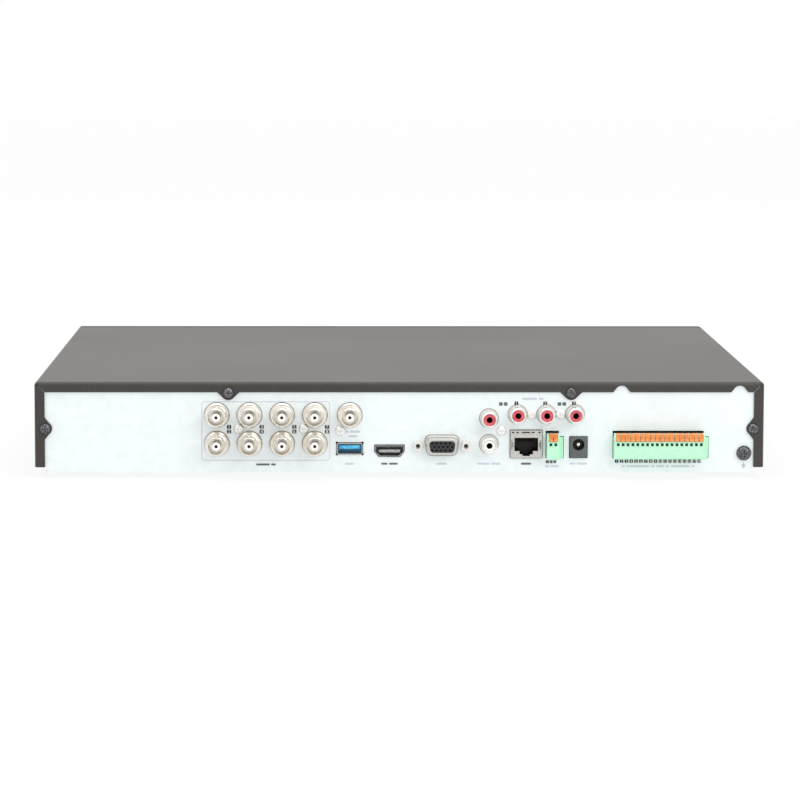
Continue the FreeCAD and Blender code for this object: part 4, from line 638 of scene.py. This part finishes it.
def round_profile(radius):
    """Eight points of a circle, for round wire."""
    a = np.linspace(0, 2 * math.pi, 8, endpoint=False)
    return np.stack([radius * np.cos(a), radius * np.sin(a)], axis=-1)


def strip_profile(width, thickness):
    """Four corners of a flat strip."""
    w, t = width / 2, thickness / 2
    return np.array([[-w, -t], [w, -t], [w, t], [-w, t]])


# ------------------------------------------------------------------ settings
def colour(name, code, words):
    """Hex colour setting."""
    return bpy.props.StringProperty(name=name, description=words, default=code)


def length(name, value_mm, words):
    """Length setting in metres, given in mm."""
    return bpy.props.FloatProperty(name=name, description=words, default=value_mm * MM, min=0.0,
                                   subtype="DISTANCE", unit="LENGTH", precision=5)


def level(name, value, words, unit="NONE"):
    """Strength or power setting."""
    return bpy.props.FloatProperty(name=name, description=words, default=value, min=0.0, unit=unit)


class RecorderColours(bpy.types.PropertyGroup):
    """Colours that a user would change."""
    panel_shade: colour("Panel shade", "#E2E9EA", "Darker crystals of the plated sheet")
    panel_tint: colour("Panel tint", "#EFF6F7", "Paler crystals of the plated sheet")
    cover_shade: colour("Cover shade", "#353330", "Darker areas of the cover's paint")
    cover_tint: colour("Cover tint", "#393734", "Lighter areas of the cover's paint")
    terminal_shade: colour("Terminal shade", "#B2E8C6", "Darker areas of the pluggable terminals")
    terminal_tint: colour("Terminal tint", "#C0F2D2", "Lighter areas of the pluggable terminals")
    lever_shade: colour("Lever shade", "#CB6915", "Darker areas of the press levers")
    lever_tint: colour("Lever tint", "#DE8624", "Lighter areas of the press levers")
    red_shade: colour("Red shade", "#C8424C", "Darker areas of the red insulators")
    red_tint: colour("Red tint", "#E66470", "Lighter areas of the red insulators")
    tongue_shade: colour("Tongue shade", "#2A96D0", "Darker areas of the data sockets' tongues")
    tongue_tint: colour("Tongue tint", "#54CAF2", "Lighter areas of the data sockets' tongues")
    frame_ink: colour("Frame ink", "#C6CAD6", "Ink of the line around the camera sockets")
    label_ink: colour("Label ink", "#5E6468", "Ink of the marks")
    number_ink: colour("Number ink", "#24282B", "Ink of the number plates")


class RecorderSizes(bpy.types.PropertyGroup):
    """Sizes and levels that a user would change."""
    ink: length("Ink thickness", 0.03, "How far the print stands off the panel")
    frame_line: length("Frame line", 0.4, "Width of the line around the camera sockets")
    number_plate: length("Number plate", 2.3, "Side of a channel number's plate")
    digit: length("Digit", 1.75, "Height of a channel number's digit")
    contact_wire: length("Contact wire", 0.2, "Radius of a contact wire in the network jack")
    floor_glow: level("Floor glow", 0.82, "Light given off by the floor sheet")
    overhead_power: level("Overhead power", 12.0, "Power of the light above", "POWER")
    front_power: level("Front power", 6.0, "Power of the light on the sockets", "POWER")
    far_power: level("Far power", 0.5, "Power of the light beyond the fascia", "POWER")


def colours():
    """Colour settings of the scene."""
    return bpy.context.scene.recorder_colours


def sizes():
    """Size settings of the scene."""
    return bpy.context.scene.recorder_sizes


# ------------------------------------------------------------------ operators: finishes
def dress(names):
    """Gives CAD pieces their own material, or else the one of their record slot."""
    slots = {entry["node"]: entry["material_slot"] for entry in frame["record"]["subparts"]}
    for name in names:
        materials = frame["nodes"][name].data.materials
        materials.clear()
        materials.append(material_from(OWN_MAKERS.get(name) or SLOT_MAKERS[slots[name]]))


class RECORDER_OT_finish_case(bpy.types.Operator):
    """Finishes the case, its cover, fascia, feet and screws."""
    bl_idname = "recorder.finish_case"
    bl_label = "Finish case"

    def execute(self, context):
        dress(["chassis", "top_cover", "cover_screws", "front_fascia", "fascia_window", "rubber_feet",
               "ground_screw", "pan_head_screws"])
        return {"FINISHED"}


class RECORDER_OT_finish_sockets(bpy.types.Operator):
    """Finishes every socket of the rear panel and the front socket."""
    bl_idname = "recorder.finish_sockets"
    bl_label = "Finish sockets"

    def execute(self, context):
        dress(["jack_housings", "bnc_shells", "bnc_insulators", "jack_centre_contacts", "phono_sleeves",
               "phono_red_insulators", "phono_white_insulator", "data_port_shells", "data_port_tongues",
               "digital_video_port_shell", "digital_video_port_tongue", "analog_video_port_shell",
               "analog_video_port_insulator", "analog_video_jackscrews", "lan_jack_shield", "lan_jack_insert",
               "dc_jack_body"])
        return {"FINISHED"}


class RECORDER_OT_finish_terminals(bpy.types.Operator):
    """Finishes the pluggable terminals and their levers."""
    bl_idname = "recorder.finish_terminals"
    bl_label = "Finish terminals"

    def execute(self, context):
        dress([name for name in frame["nodes"] if name.startswith(("alarm_", "serial_"))])
        return {"FINISHED"}


class RECORDER_OT_finish_inside(bpy.types.Operator):
    """Finishes the boards, the drive, the fan and the leads."""
    bl_idname = "recorder.finish_inside"
    bl_label = "Finish inside"

    def execute(self, context):
        dress(["main_board", "board_components", "heatsink", "front_board", "hdd_base", "hdd_lid",
               "hdd_platters", "hdd_actuator", "fan_frame", "fan_rotor", "drive_leads"])
        return {"FINISHED"}


# ------------------------------------------------------------------ operators: print on the panel
def rounded_loop(x, z, radius, y):
    """Closed path of a rounded rectangle in the panel's plane: a quarter circle round each corner."""
    per_corner = 8
    a = np.linspace(0, math.pi / 2, per_corner)
    loop = []
    for turn, cx, cz in ((0, x[1], z[1]), (1, x[0], z[1]), (2, x[0], z[0]), (3, x[1], z[0])):
        sx, sz = (-1 if cx == x[1] else 1), (-1 if cz == z[1] else 1)
        angle = a + turn * math.pi / 2
        loop.append(np.stack([cx + sx * radius + radius * np.cos(angle), np.full(per_corner, y),
                              cz + sz * radius + radius * np.sin(angle)], axis=-1))
    return np.concatenate(loop)


def bars(name, entries, code):
    """Flat rounded bars on the panel, from (x, z, width, height) entries."""
    half_ink = sizes().ink / 2
    y = panel_face() - half_ink
    table = np.array(entries, float)
    centres = np.stack([table[:, 0], np.full(len(table), y), table[:, 1]], axis=-1)
    halves = np.stack([table[:, 2] / 2, np.full(len(table), half_ink), table[:, 3] / 2], axis=-1)
    return pillows(name, centres, halves, 0.22, "case", "housing_black", panel_ink(name + "_ink", code),
                   around=20, rings=5, smooth=False)


def caption(x, z, lengths_mm, height_mm, gap_mm=0.7):
    """(x, z, width, height) of a row of bars centred on x, which stands in for a line of lettering."""
    total = sum(lengths_mm) + gap_mm * (len(lengths_mm) - 1)
    starts = np.cumsum([0.0] + [size + gap_mm for size in lengths_mm[:-1]])
    return [(x + (start + size / 2 - total / 2) * MM, z, size * MM, height_mm * MM)
            for start, size in zip(starts, lengths_mm)]


def digits(name, entries, height, code, lift):
    """Numbers as one flat mesh, laid in the panel's plane and facing outwards: the built-in font's outlines,
    given the ink's thickness. Entries are (text, x, z) of each number's middle."""
    cap_share = 0.7     # of the font's size, for a digit
    work = bmesh.new()
    for text, x, z in entries:
        curve = bpy.data.curves.new("digit", "FONT")
        curve.body = text
        curve.size = height / cap_share
        curve.align_x = "CENTER"
        curve.extrude = sizes().ink / 2
        holder = bpy.data.objects.new("digit", curve)
        bpy.context.scene.collection.objects.link(holder)
        bpy.context.view_layer.update()
        graph = bpy.context.evaluated_depsgraph_get()
        mesh = bpy.data.meshes.new_from_object(holder.evaluated_get(graph))
        place = Matrix.Translation((x, panel_face() - lift, z - height / 2))
        mesh.transform(place @ Matrix.Rotation(math.pi / 2, 4, "X"))
        work.from_mesh(mesh)
        bpy.data.objects.remove(holder)
        bpy.data.curves.remove(curve)
        bpy.data.meshes.remove(mesh)
    joined = bpy.data.meshes.new(name)
    work.to_mesh(joined)
    work.free()
    return placed(name, joined, "case", panel_ink(name + "_ink", code))


def numbered_plates(name, entries, size, digit_height):
    """Dark plates with a pale number on each, from (text, x, z) entries. Size is (width, height). A number
    stands off the panel by one and a half times the ink's thickness, so that it lies on its plate."""
    bars(name + "_plates", [(x, z, *size) for text, x, z in entries], colours().number_ink)
    digits(name + "_numbers", entries, digit_height, "#F2F4F4", sizes().ink * 1.5)


def bnc_centres():
    """(x, z) of the camera sockets' axes and then the monitor socket's."""
    return [tuple(centre_of(box)[[0, 2]]) for box in solids_of("bnc_shells")]


class RECORDER_OT_print_channels(bpy.types.Operator):
    """Prints the rounded line around the eight camera sockets and their channel numbers."""
    bl_idname = "recorder.print_channels"
    bl_label = "Print channels"

    def execute(self, context):
        inputs = bnc_centres()[:CAMERA_COUNT]
        xs = sorted({round(x, 5) for x, z in inputs})
        zs = sorted({round(z, 5) for x, z in inputs})
        if len(xs) != CAMERA_COUNT / 2 or len(zs) != 2:
            raise RuntimeError("the camera sockets aren't in two even rows")
        margin_x, margin_low, margin_high = 7.8 * MM, 8.8 * MM, 6.9 * MM
        corner = 1.6 * MM
        loop = rounded_loop((xs[0] - margin_x, xs[-1] + margin_x), (zs[0] - margin_low, zs[-1] + margin_high),
                            corner, panel_face() - sizes().ink / 2)
        run_along("camera_frame_line", [loop], strip_profile(sizes().ink, sizes().frame_line), (0, 1, 0),
                  "case", panel_ink("frame_line_ink", colours().frame_ink),
                  closed=True, smooth=False)
        side = sizes().number_plate
        middle = (zs[0] + zs[-1]) / 2
        aside, spread = 6.35 * MM, side * 0.54      # plates lie just clear of each other
        places = [(x + aside, middle + up * spread) for x in xs for up in (1, -1)]
        entries = [(str(k + 1), x, z) for k, (x, z) in enumerate(places)]
        numbered_plates("channel", entries, (side, side * 0.92), sizes().digit)
        return {"FINISHED"}


class RECORDER_OT_print_port_marks(bpy.types.Operator):
    """Prints plain bars beside the sockets, numbered plates and the earth sign."""
    bl_idname = "recorder.print_port_marks"
    bl_label = "Print port marks"

    def execute(self, context):
        row = node_box("chassis")[0][2] + 4.6 * MM      # height of the line of captions
        below, above = row - 1.4 * MM, row + 1.3 * MM
        input_xs = [x for x, z in bnc_centres()]
        monitor_x, monitor_z = bnc_centres()[CAMERA_COUNT]
        monitor_x += 1.6 * MM
        rear_data_x = centre_of(solids_of("data_port_shells")[-1])[0]
        sleeves = solids_of("phono_sleeves")
        sleeve_xs = [centre_of(box)[0] for box in sleeves]
        sleeve_tops = sleeves[-1][1][2]

        # x and z of a caption's middle, the lengths of its bars in mm, their height, and an unusual gap
        strong = (((input_xs[2] + input_xs[4]) / 2, row - 0.4 * MM, (7.2, 2.4), 1.1),
                  (x_of("digital_video_port_shell"), row, (3.4, 4.6), 1.1),
                  (x_of("lan_jack_shield"), row, (5.4,), 1.2),
                  (x_of("serial_plug") - 0.6 * MM, row + 1.0 * MM, (1.8, 1.6, 1.6), 1.6, 0.3))
        faint = ((monitor_x, monitor_z - 8.8 * MM, (1.6, 5.4), 1.2),
                 (monitor_x, monitor_z - 11.2 * MM, (4.4,), 1.2),
                 (rear_data_x, row, (4.6,), 1.1),
                 (x_of("analog_video_port_shell"), row, (5.2,), 1.1),
                 (sleeve_xs[0], row, (6.8, 5.0), 1.1),
                 (x_of("dc_jack_body"), row, (3.2, 5.4), 1.1),
                 ((sleeve_xs[2] + sleeve_xs[3]) / 2 + 0.4 * MM, sleeve_tops + 3.9 * MM, (8.0, 2.6), 1.3),
                 (x_of("serial_plug"), below, (2.0, 4.4), 1.1),
                 (x_of("alarm_plug"), below, (1.6, 12.0, 1.8, 4.0, 1.8, 10.0, 1.4), 0.9, 0.9))
        icon_z = sleeve_tops + 1.2 * MM
        icons = [(x + side * 1.25 * MM, icon_z, 2.0 * MM, 1.9 * MM)
                 for x in ((sleeve_xs[1] + sleeve_xs[2]) / 2, sleeve_xs[3] + 8.1 * MM) for side in (-1, 1)]
        bars("port_bars", [bar for line in strong for bar in caption(*line)] + icons, colours().label_ink)
        bars("port_bars_faint", [bar for line in faint for bar in caption(*line)], colours().frame_ink)

        poles = sorted(name for name in frame["nodes"] if name.startswith("alarm_lever_"))
        entries = [(str(k + 1), x_of(name), above) for k, name in enumerate(poles)]
        numbered_plates("alarm_pole", entries, (2.0 * MM, 1.8 * MM), 1.3 * MM)
        collar = 0.65 * MM      # a housing's collar stands this far above its sleeve
        entries = [(str(k + 1), x - 0.6 * MM, sleeve_tops + collar + 0.95 * MM)
                   for k, x in enumerate(sleeve_xs[2:])]
        numbered_plates("audio", entries, (2.1 * MM, 1.8 * MM), 1.3 * MM)

        # earth sign: a stem over three bars that shorten downwards
        low, high = node_box("ground_screw")
        x, top = (low[0] + high[0]) / 2, low[2] - 1.8 * MM
        sign = [(x, top, 0.3 * MM, 1.2 * MM)]
        sign += [(x, top - (0.7 + 0.6 * k) * MM, (2.4 - 0.8 * k) * MM, 0.3 * MM) for k in range(3)]
        bars("earth_sign", sign, colours().label_ink)
        return {"FINISHED"}


# ------------------------------------------------------------------ operators: small parts
class RECORDER_OT_network_contacts(bpy.types.Operator):
    """Adds the eight contact wires of the network jack and the springs of its shield. Each wire leaves the
    roof of the cavity and slopes down inwards as a smooth step: z = roof - drop * (3 t^2 - 2 t^3)."""
    bl_idname = "recorder.network_contacts"
    bl_label = "Network contacts"

    def execute(self, context):
        low, high = node_box("lan_jack_insert")
        shield_low, shield_high = node_box("lan_jack_shield")
        middle = (low[0] + high[0]) / 2
        roof = shield_high[2] - 3.85 * MM - sizes().contact_wire
        drop, reach, start = 3.2 * MM, 9.0 * MM, 2.2 * MM
        wires, pitch = 8, 1.016 * MM
        t = np.linspace(0, 1, 14)
        y = low[1] + start + reach * t
        z = roof - drop * (3 * t ** 2 - 2 * t ** 3)
        paths = [np.stack([np.full_like(t, middle + (k - (wires - 1) / 2) * pitch), y, z], axis=-1)
                 for k in range(wires)]
        run_along("network_contact_wires", paths, round_profile(sizes().contact_wire), (1, 0, 0), "case",
                  material_from(contact_brass))
        spring_x, spring_z = 6.5 * MM, shield_low[2] + 6.9 * MM
        centres = [(middle + side * spring_x, shield_low[1] + 0.22 * MM, spring_z) for side in (-1, 1)]
        pillows("network_shield_springs", centres, (0.42 * MM, 0.2 * MM, 0.8 * MM), 0.7, "case", "tin_shell",
                material_from(tin_shell))
        return {"FINISHED"}


class RECORDER_OT_flat_contacts(bpy.types.Operator):
    """Adds the contact strips of the flat data sockets, four under each tongue, and of the digital picture
    socket, ten over and nine under its tongue."""
    bl_idname = "recorder.flat_contacts"
    bl_label = "Flat contacts"

    def execute(self, context):
        half_strip = 0.02 * MM
        centres, halves = [], []

        def row_of_strips(count, pitch, middle_x, y, z, half_size):
            """Notes one row of strips, evenly spaced about its middle."""
            for k in range(count):
                centres.append((middle_x + (k - (count - 1) / 2) * pitch, y, z))
                halves.append((*half_size, half_strip))

        from_mouth, data_pitch, data_half = 3.6 * MM, 2.3 * MM, (0.5 * MM, 2.9 * MM)
        for low, high in solids_of("data_port_tongues"):
            y = high[1] - from_mouth if low[1] > 0 else low[1] + from_mouth     # the front socket faces +Y
            row_of_strips(4, data_pitch, (low[0] + high[0]) / 2, y, low[2] - half_strip, data_half)
        low, high = node_box("digital_video_port_tongue")
        from_tip, picture_pitch, picture_half = 2.6 * MM, 1.0 * MM, (0.16 * MM, 2.2 * MM)
        for count, z in ((10, high[2] + half_strip), (9, low[2] - half_strip)):
            row_of_strips(count, picture_pitch, (low[0] + high[0]) / 2, low[1] + from_tip, z, picture_half)
        pillows("flat_contact_strips", centres, halves, 0.25, "case", "contact_brass",
                material_from(contact_brass), **SMALL_BLOCK)
        return {"FINISHED"}


class RECORDER_OT_board_passives(bpy.types.Operator):
    """Adds chip resistors and capacitors on the free parts of the main board, as superellipsoid blocks."""
    bl_idname = "recorder.board_passives"
    bl_label = "Board passives"

    def execute(self, context):
        low, high = node_box("main_board")
        elsewhere = ("main_board", "chassis", "top_cover", "front_fascia", "rubber_feet", "fascia_window")
        taken = [box for name in frame["nodes"] if name not in elsewhere for box in solids_of(name)
                 if box[0][2] < high[2] + MM and box[1][2] > high[2]]
        clear, edge, raster = 1.6 * MM, 2.5 * MM, 2.54 * MM
        lows = np.array([box[0][:2] for box in taken]) - clear
        highs = np.array([box[1][:2] for box in taken]) + clear
        tries, wanted = 1500, 150
        random = np.random.default_rng(7)
        spots = random.uniform(low[:2] + edge, high[:2] - edge, (tries, 2))
        spots = np.unique(np.round(spots / raster) * raster, axis=0)
        covered = ((spots[:, None] > lows[None]) & (spots[:, None] < highs[None])).all(axis=2).any(axis=1)
        spots = random.permutation(spots[~covered])[:wanted]
        if len(spots) < wanted / 2:
            raise RuntimeError("too little free board for the small parts")
        along_x = (random.random(len(spots)) < 0.5)[:, None]
        half_body = np.where(along_x, (0.62, 0.4), (0.4, 0.62)) * MM    # a chip of 1.24 by 0.8 mm
        half_end = np.where(along_x, (0.2, 0.42), (0.42, 0.2)) * MM
        step = np.where(along_x, (0.7, 0.0), (0.0, 0.7)) * MM
        half_height = 0.26 * MM
        rise = np.full((len(spots), 1), high[2] + half_height)
        thick = np.full_like(rise, half_height)
        pillows("board_passives", np.hstack([spots, rise]), np.hstack([half_body, thick]), 0.25, "case",
                "component_black", material_from(component_black), **SMALL_BLOCK)
        ends = np.vstack([np.hstack([spots + side * step, rise]) for side in (-1, 1)])
        end_thick = thick * 1.04    # a soldered end stands a little higher than the body
        pillows("board_passive_ends", ends, np.tile(np.hstack([half_end, end_thick]), (2, 1)), 0.25, "case",
                "tin_shell", material_from(tin_shell), **SMALL_BLOCK)
        return {"FINISHED"}


class RECORDER_OT_labels(bpy.types.Operator):
    """Adds the drive's paper label with plain bars, the sticker on the fan's hub and the marks on the
    fascia's window. Each is a thin superellipsoid."""
    bl_idname = "recorder.labels"
    bl_label = "Labels"

    def execute(self, context):
        half_paper, half_ink = 0.05 * MM, 0.5 * sizes().ink
        low, high = node_box("hdd_lid")
        middle = (low + high) / 2
        width, depth = (high - low)[:2]
        lid_face = high[2] - 0.6 * MM       # the lid's rim stands above the face with the label
        label_y = low[1] + depth * 0.16
        pillows("drive_label", [(middle[0], label_y, lid_face + half_paper)],
                (width * 0.38, depth * 0.1, half_paper), 0.12, "case", "jack_white",
                material_from(label_paper), around=32, rings=5, smooth=False)
        half_lengths = width * np.array([0.30, 0.22, 0.26, 0.14, 0.20])
        lines, pitch = len(half_lengths), depth * 0.034
        steps = np.arange(lines) - (lines - 1) / 2      # rows counted from the middle one
        centres = np.stack([middle[0] - width * 0.34 + half_lengths, label_y + steps * pitch,
                            np.full(lines, lid_face + 2.2 * half_paper)], axis=-1)
        halves = np.stack([half_lengths, np.full(lines, 0.6 * MM), np.full(lines, 0.3 * half_paper)], axis=-1)
        pillows("drive_label_bars", centres, halves, 0.2, "case", "housing_black",
                panel_ink("drive_label_ink", colours().label_ink), **FLAT_BLOCK)

        low, high = node_box("fan_rotor")
        middle = (low + high) / 2
        sticker_radius, half_sticker = 7.5 * MM, 0.5 * half_paper
        pillows("fan_hub_label", [(low[0] - half_sticker, middle[1], middle[2])],
                (half_sticker, sticker_radius, sticker_radius), 1.0, "fan_blades", "jack_white",
                material_from(label_paper), around=32, rings=9)

        low, high = node_box("fascia_window")
        xs = sorted(centre_of(box)[0] for box in parts_on_front_board())
        centres = [(x, high[1] + half_ink, low[2] + 2.6 * MM) for x in xs]
        pillows("window_marks", centres, (1.3 * MM, half_ink, 0.35 * MM), 0.3, "case", "jack_white",
                panel_ink("window_ink", "#B9BEC2"), **FLAT_BLOCK)
        return {"FINISHED"}


# ------------------------------------------------------------------ stage
def soft_light(name, place, target, size, power):
    """Rectangular area light that faces a point."""
    light = bpy.data.lights.new(name, "AREA")
    light.shape = "RECTANGLE"
    light.size, light.size_y = size
    light.energy = power
    holder = bpy.data.objects.new(name, light)
    holder.location = place
    holder.rotation_euler = (Vector(target) - Vector(place)).to_track_quat("-Z", "Y").to_euler()
    bpy.context.scene.collection.objects.link(holder)


class RECORDER_OT_stage(bpy.types.Operator):
    """Pale floor, soft lights, white surround and the camera."""
    bl_idname = "recorder.stage"
    bl_label = "Stage"

    def execute(self, context):
        scene = context.scene
        half, below, lines = 6.0, 0.2 * MM, 3
        u, v = np.meshgrid(np.linspace(-half, half, lines), np.linspace(-half, half, lines), indexing="ij")
        points = np.stack([u, v, np.full(u.shape, -below)], axis=-1)
        upwards = sheet_faces(lines, lines, False, False)[:, ::-1]
        mesh = bpy.data.meshes.new("studio_floor")
        mesh.from_pydata(points.reshape(-1, 3).tolist(), [], upwards.tolist())
        mesh.materials.append(material_from(studio_floor))
        floor = bpy.data.objects.new("studio_floor", mesh)
        scene.collection.objects.link(floor)

        world = bpy.data.worlds.new("studio_surround")
        world.use_nodes = True
        tree = world.node_tree
        tree.nodes.clear()
        sky = add(tree, "ShaderNodeBackground", {"Color": (1, 1, 1, 1), "Strength": 1.0})
        add(tree, "ShaderNodeOutputWorld", {"Surface": (sky, "Background")})
        scene.world = world
        scene.view_settings.view_transform = "Standard"

        soft_light("overhead_softbox", (0.0, -0.2, 1.4), (0, 0, 0), (1.6, 1.2), sizes().overhead_power)
        soft_light("front_softbox", (0.8, -1.5, 0.8), (0.05, -0.15, 0.02), (0.9, 0.6), sizes().front_power)
        soft_light("far_softbox", (0.1, 2.4, 0.75), (0, 0, 0.05), (2.4, 0.5), sizes().far_power)

        eye = (-0.0325, -1.95568, 0.24462)
        yaw, pitch, roll = math.radians(1.034), math.radians(6.456), math.radians(0.118)
        camera_data = bpy.data.cameras.new("view_camera")
        camera_data.lens = 156.9
        camera_data.clip_start = 0.05
        camera = bpy.data.objects.new("view_camera", camera_data)
        ahead = Vector((math.sin(yaw) * math.cos(pitch), math.cos(yaw) * math.cos(pitch), -math.sin(pitch)))
        level = Vector((math.cos(yaw), -math.sin(yaw), 0))
        up = level.cross(ahead)
        across = level * math.cos(roll) + up * math.sin(roll)
        upright = up * math.cos(roll) - level * math.sin(roll)
        turn = Matrix((across, upright, -ahead)).transposed().to_4x4()
        camera.matrix_world = Matrix.Translation(eye) @ turn
        scene.collection.objects.link(camera)
        scene.camera = camera
        return {"FINISHED"}


class RECORDER_PT_panel(bpy.types.Panel):
    """Lists the recorder's settings and steps."""
    bl_idname = "RECORDER_PT_panel"
    bl_label = "Recorder"
    bl_space_type = "VIEW_3D"
    bl_region_type = "UI"
    bl_category = "Recorder"

    def draw(self, context):
        for group in (context.scene.recorder_sizes, context.scene.recorder_colours):
            box = self.layout.box()
            for key in group.__annotations__:
                box.prop(group, key)
        for operator in OPERATORS:
            self.layout.operator(operator.bl_idname)


OPERATORS = (
    RECORDER_OT_stage, RECORDER_OT_finish_case, RECORDER_OT_finish_sockets, RECORDER_OT_finish_terminals,
    RECORDER_OT_finish_inside, RECORDER_OT_print_channels, RECORDER_OT_print_port_marks,
    RECORDER_OT_network_contacts, RECORDER_OT_flat_contacts, RECORDER_OT_board_passives, RECORDER_OT_labels,
)
CLASSES = (RecorderColours, RecorderSizes, *OPERATORS, RECORDER_PT_panel)


def register():
    """Makes the settings, the steps and their panel known."""
    for item in CLASSES:
        bpy.utils.register_class(item)
    bpy.types.Scene.recorder_colours = bpy.props.PointerProperty(type=RecorderColours)
    bpy.types.Scene.recorder_sizes = bpy.props.PointerProperty(type=RecorderSizes)


def unregister():
    """Takes all of it away again, in the opposite order."""
    del bpy.types.Scene.recorder_sizes
    del bpy.types.Scene.recorder_colours
    for item in reversed(CLASSES):
        bpy.utils.unregister_class(item)


def main():
    """Runs every step once."""
    register()
    bpy.ops.recorder.stage()
    bpy.ops.recorder.finish_case()
    bpy.ops.recorder.finish_sockets()
    bpy.ops.recorder.finish_terminals()
    bpy.ops.recorder.finish_inside()
    bpy.ops.recorder.print_channels()
    bpy.ops.recorder.print_port_marks()
    bpy.ops.recorder.network_contacts()
    bpy.ops.recorder.flat_contacts()
    bpy.ops.recorder.board_passives()
    bpy.ops.recorder.labels()


if __name__ == "__main__":
    main()
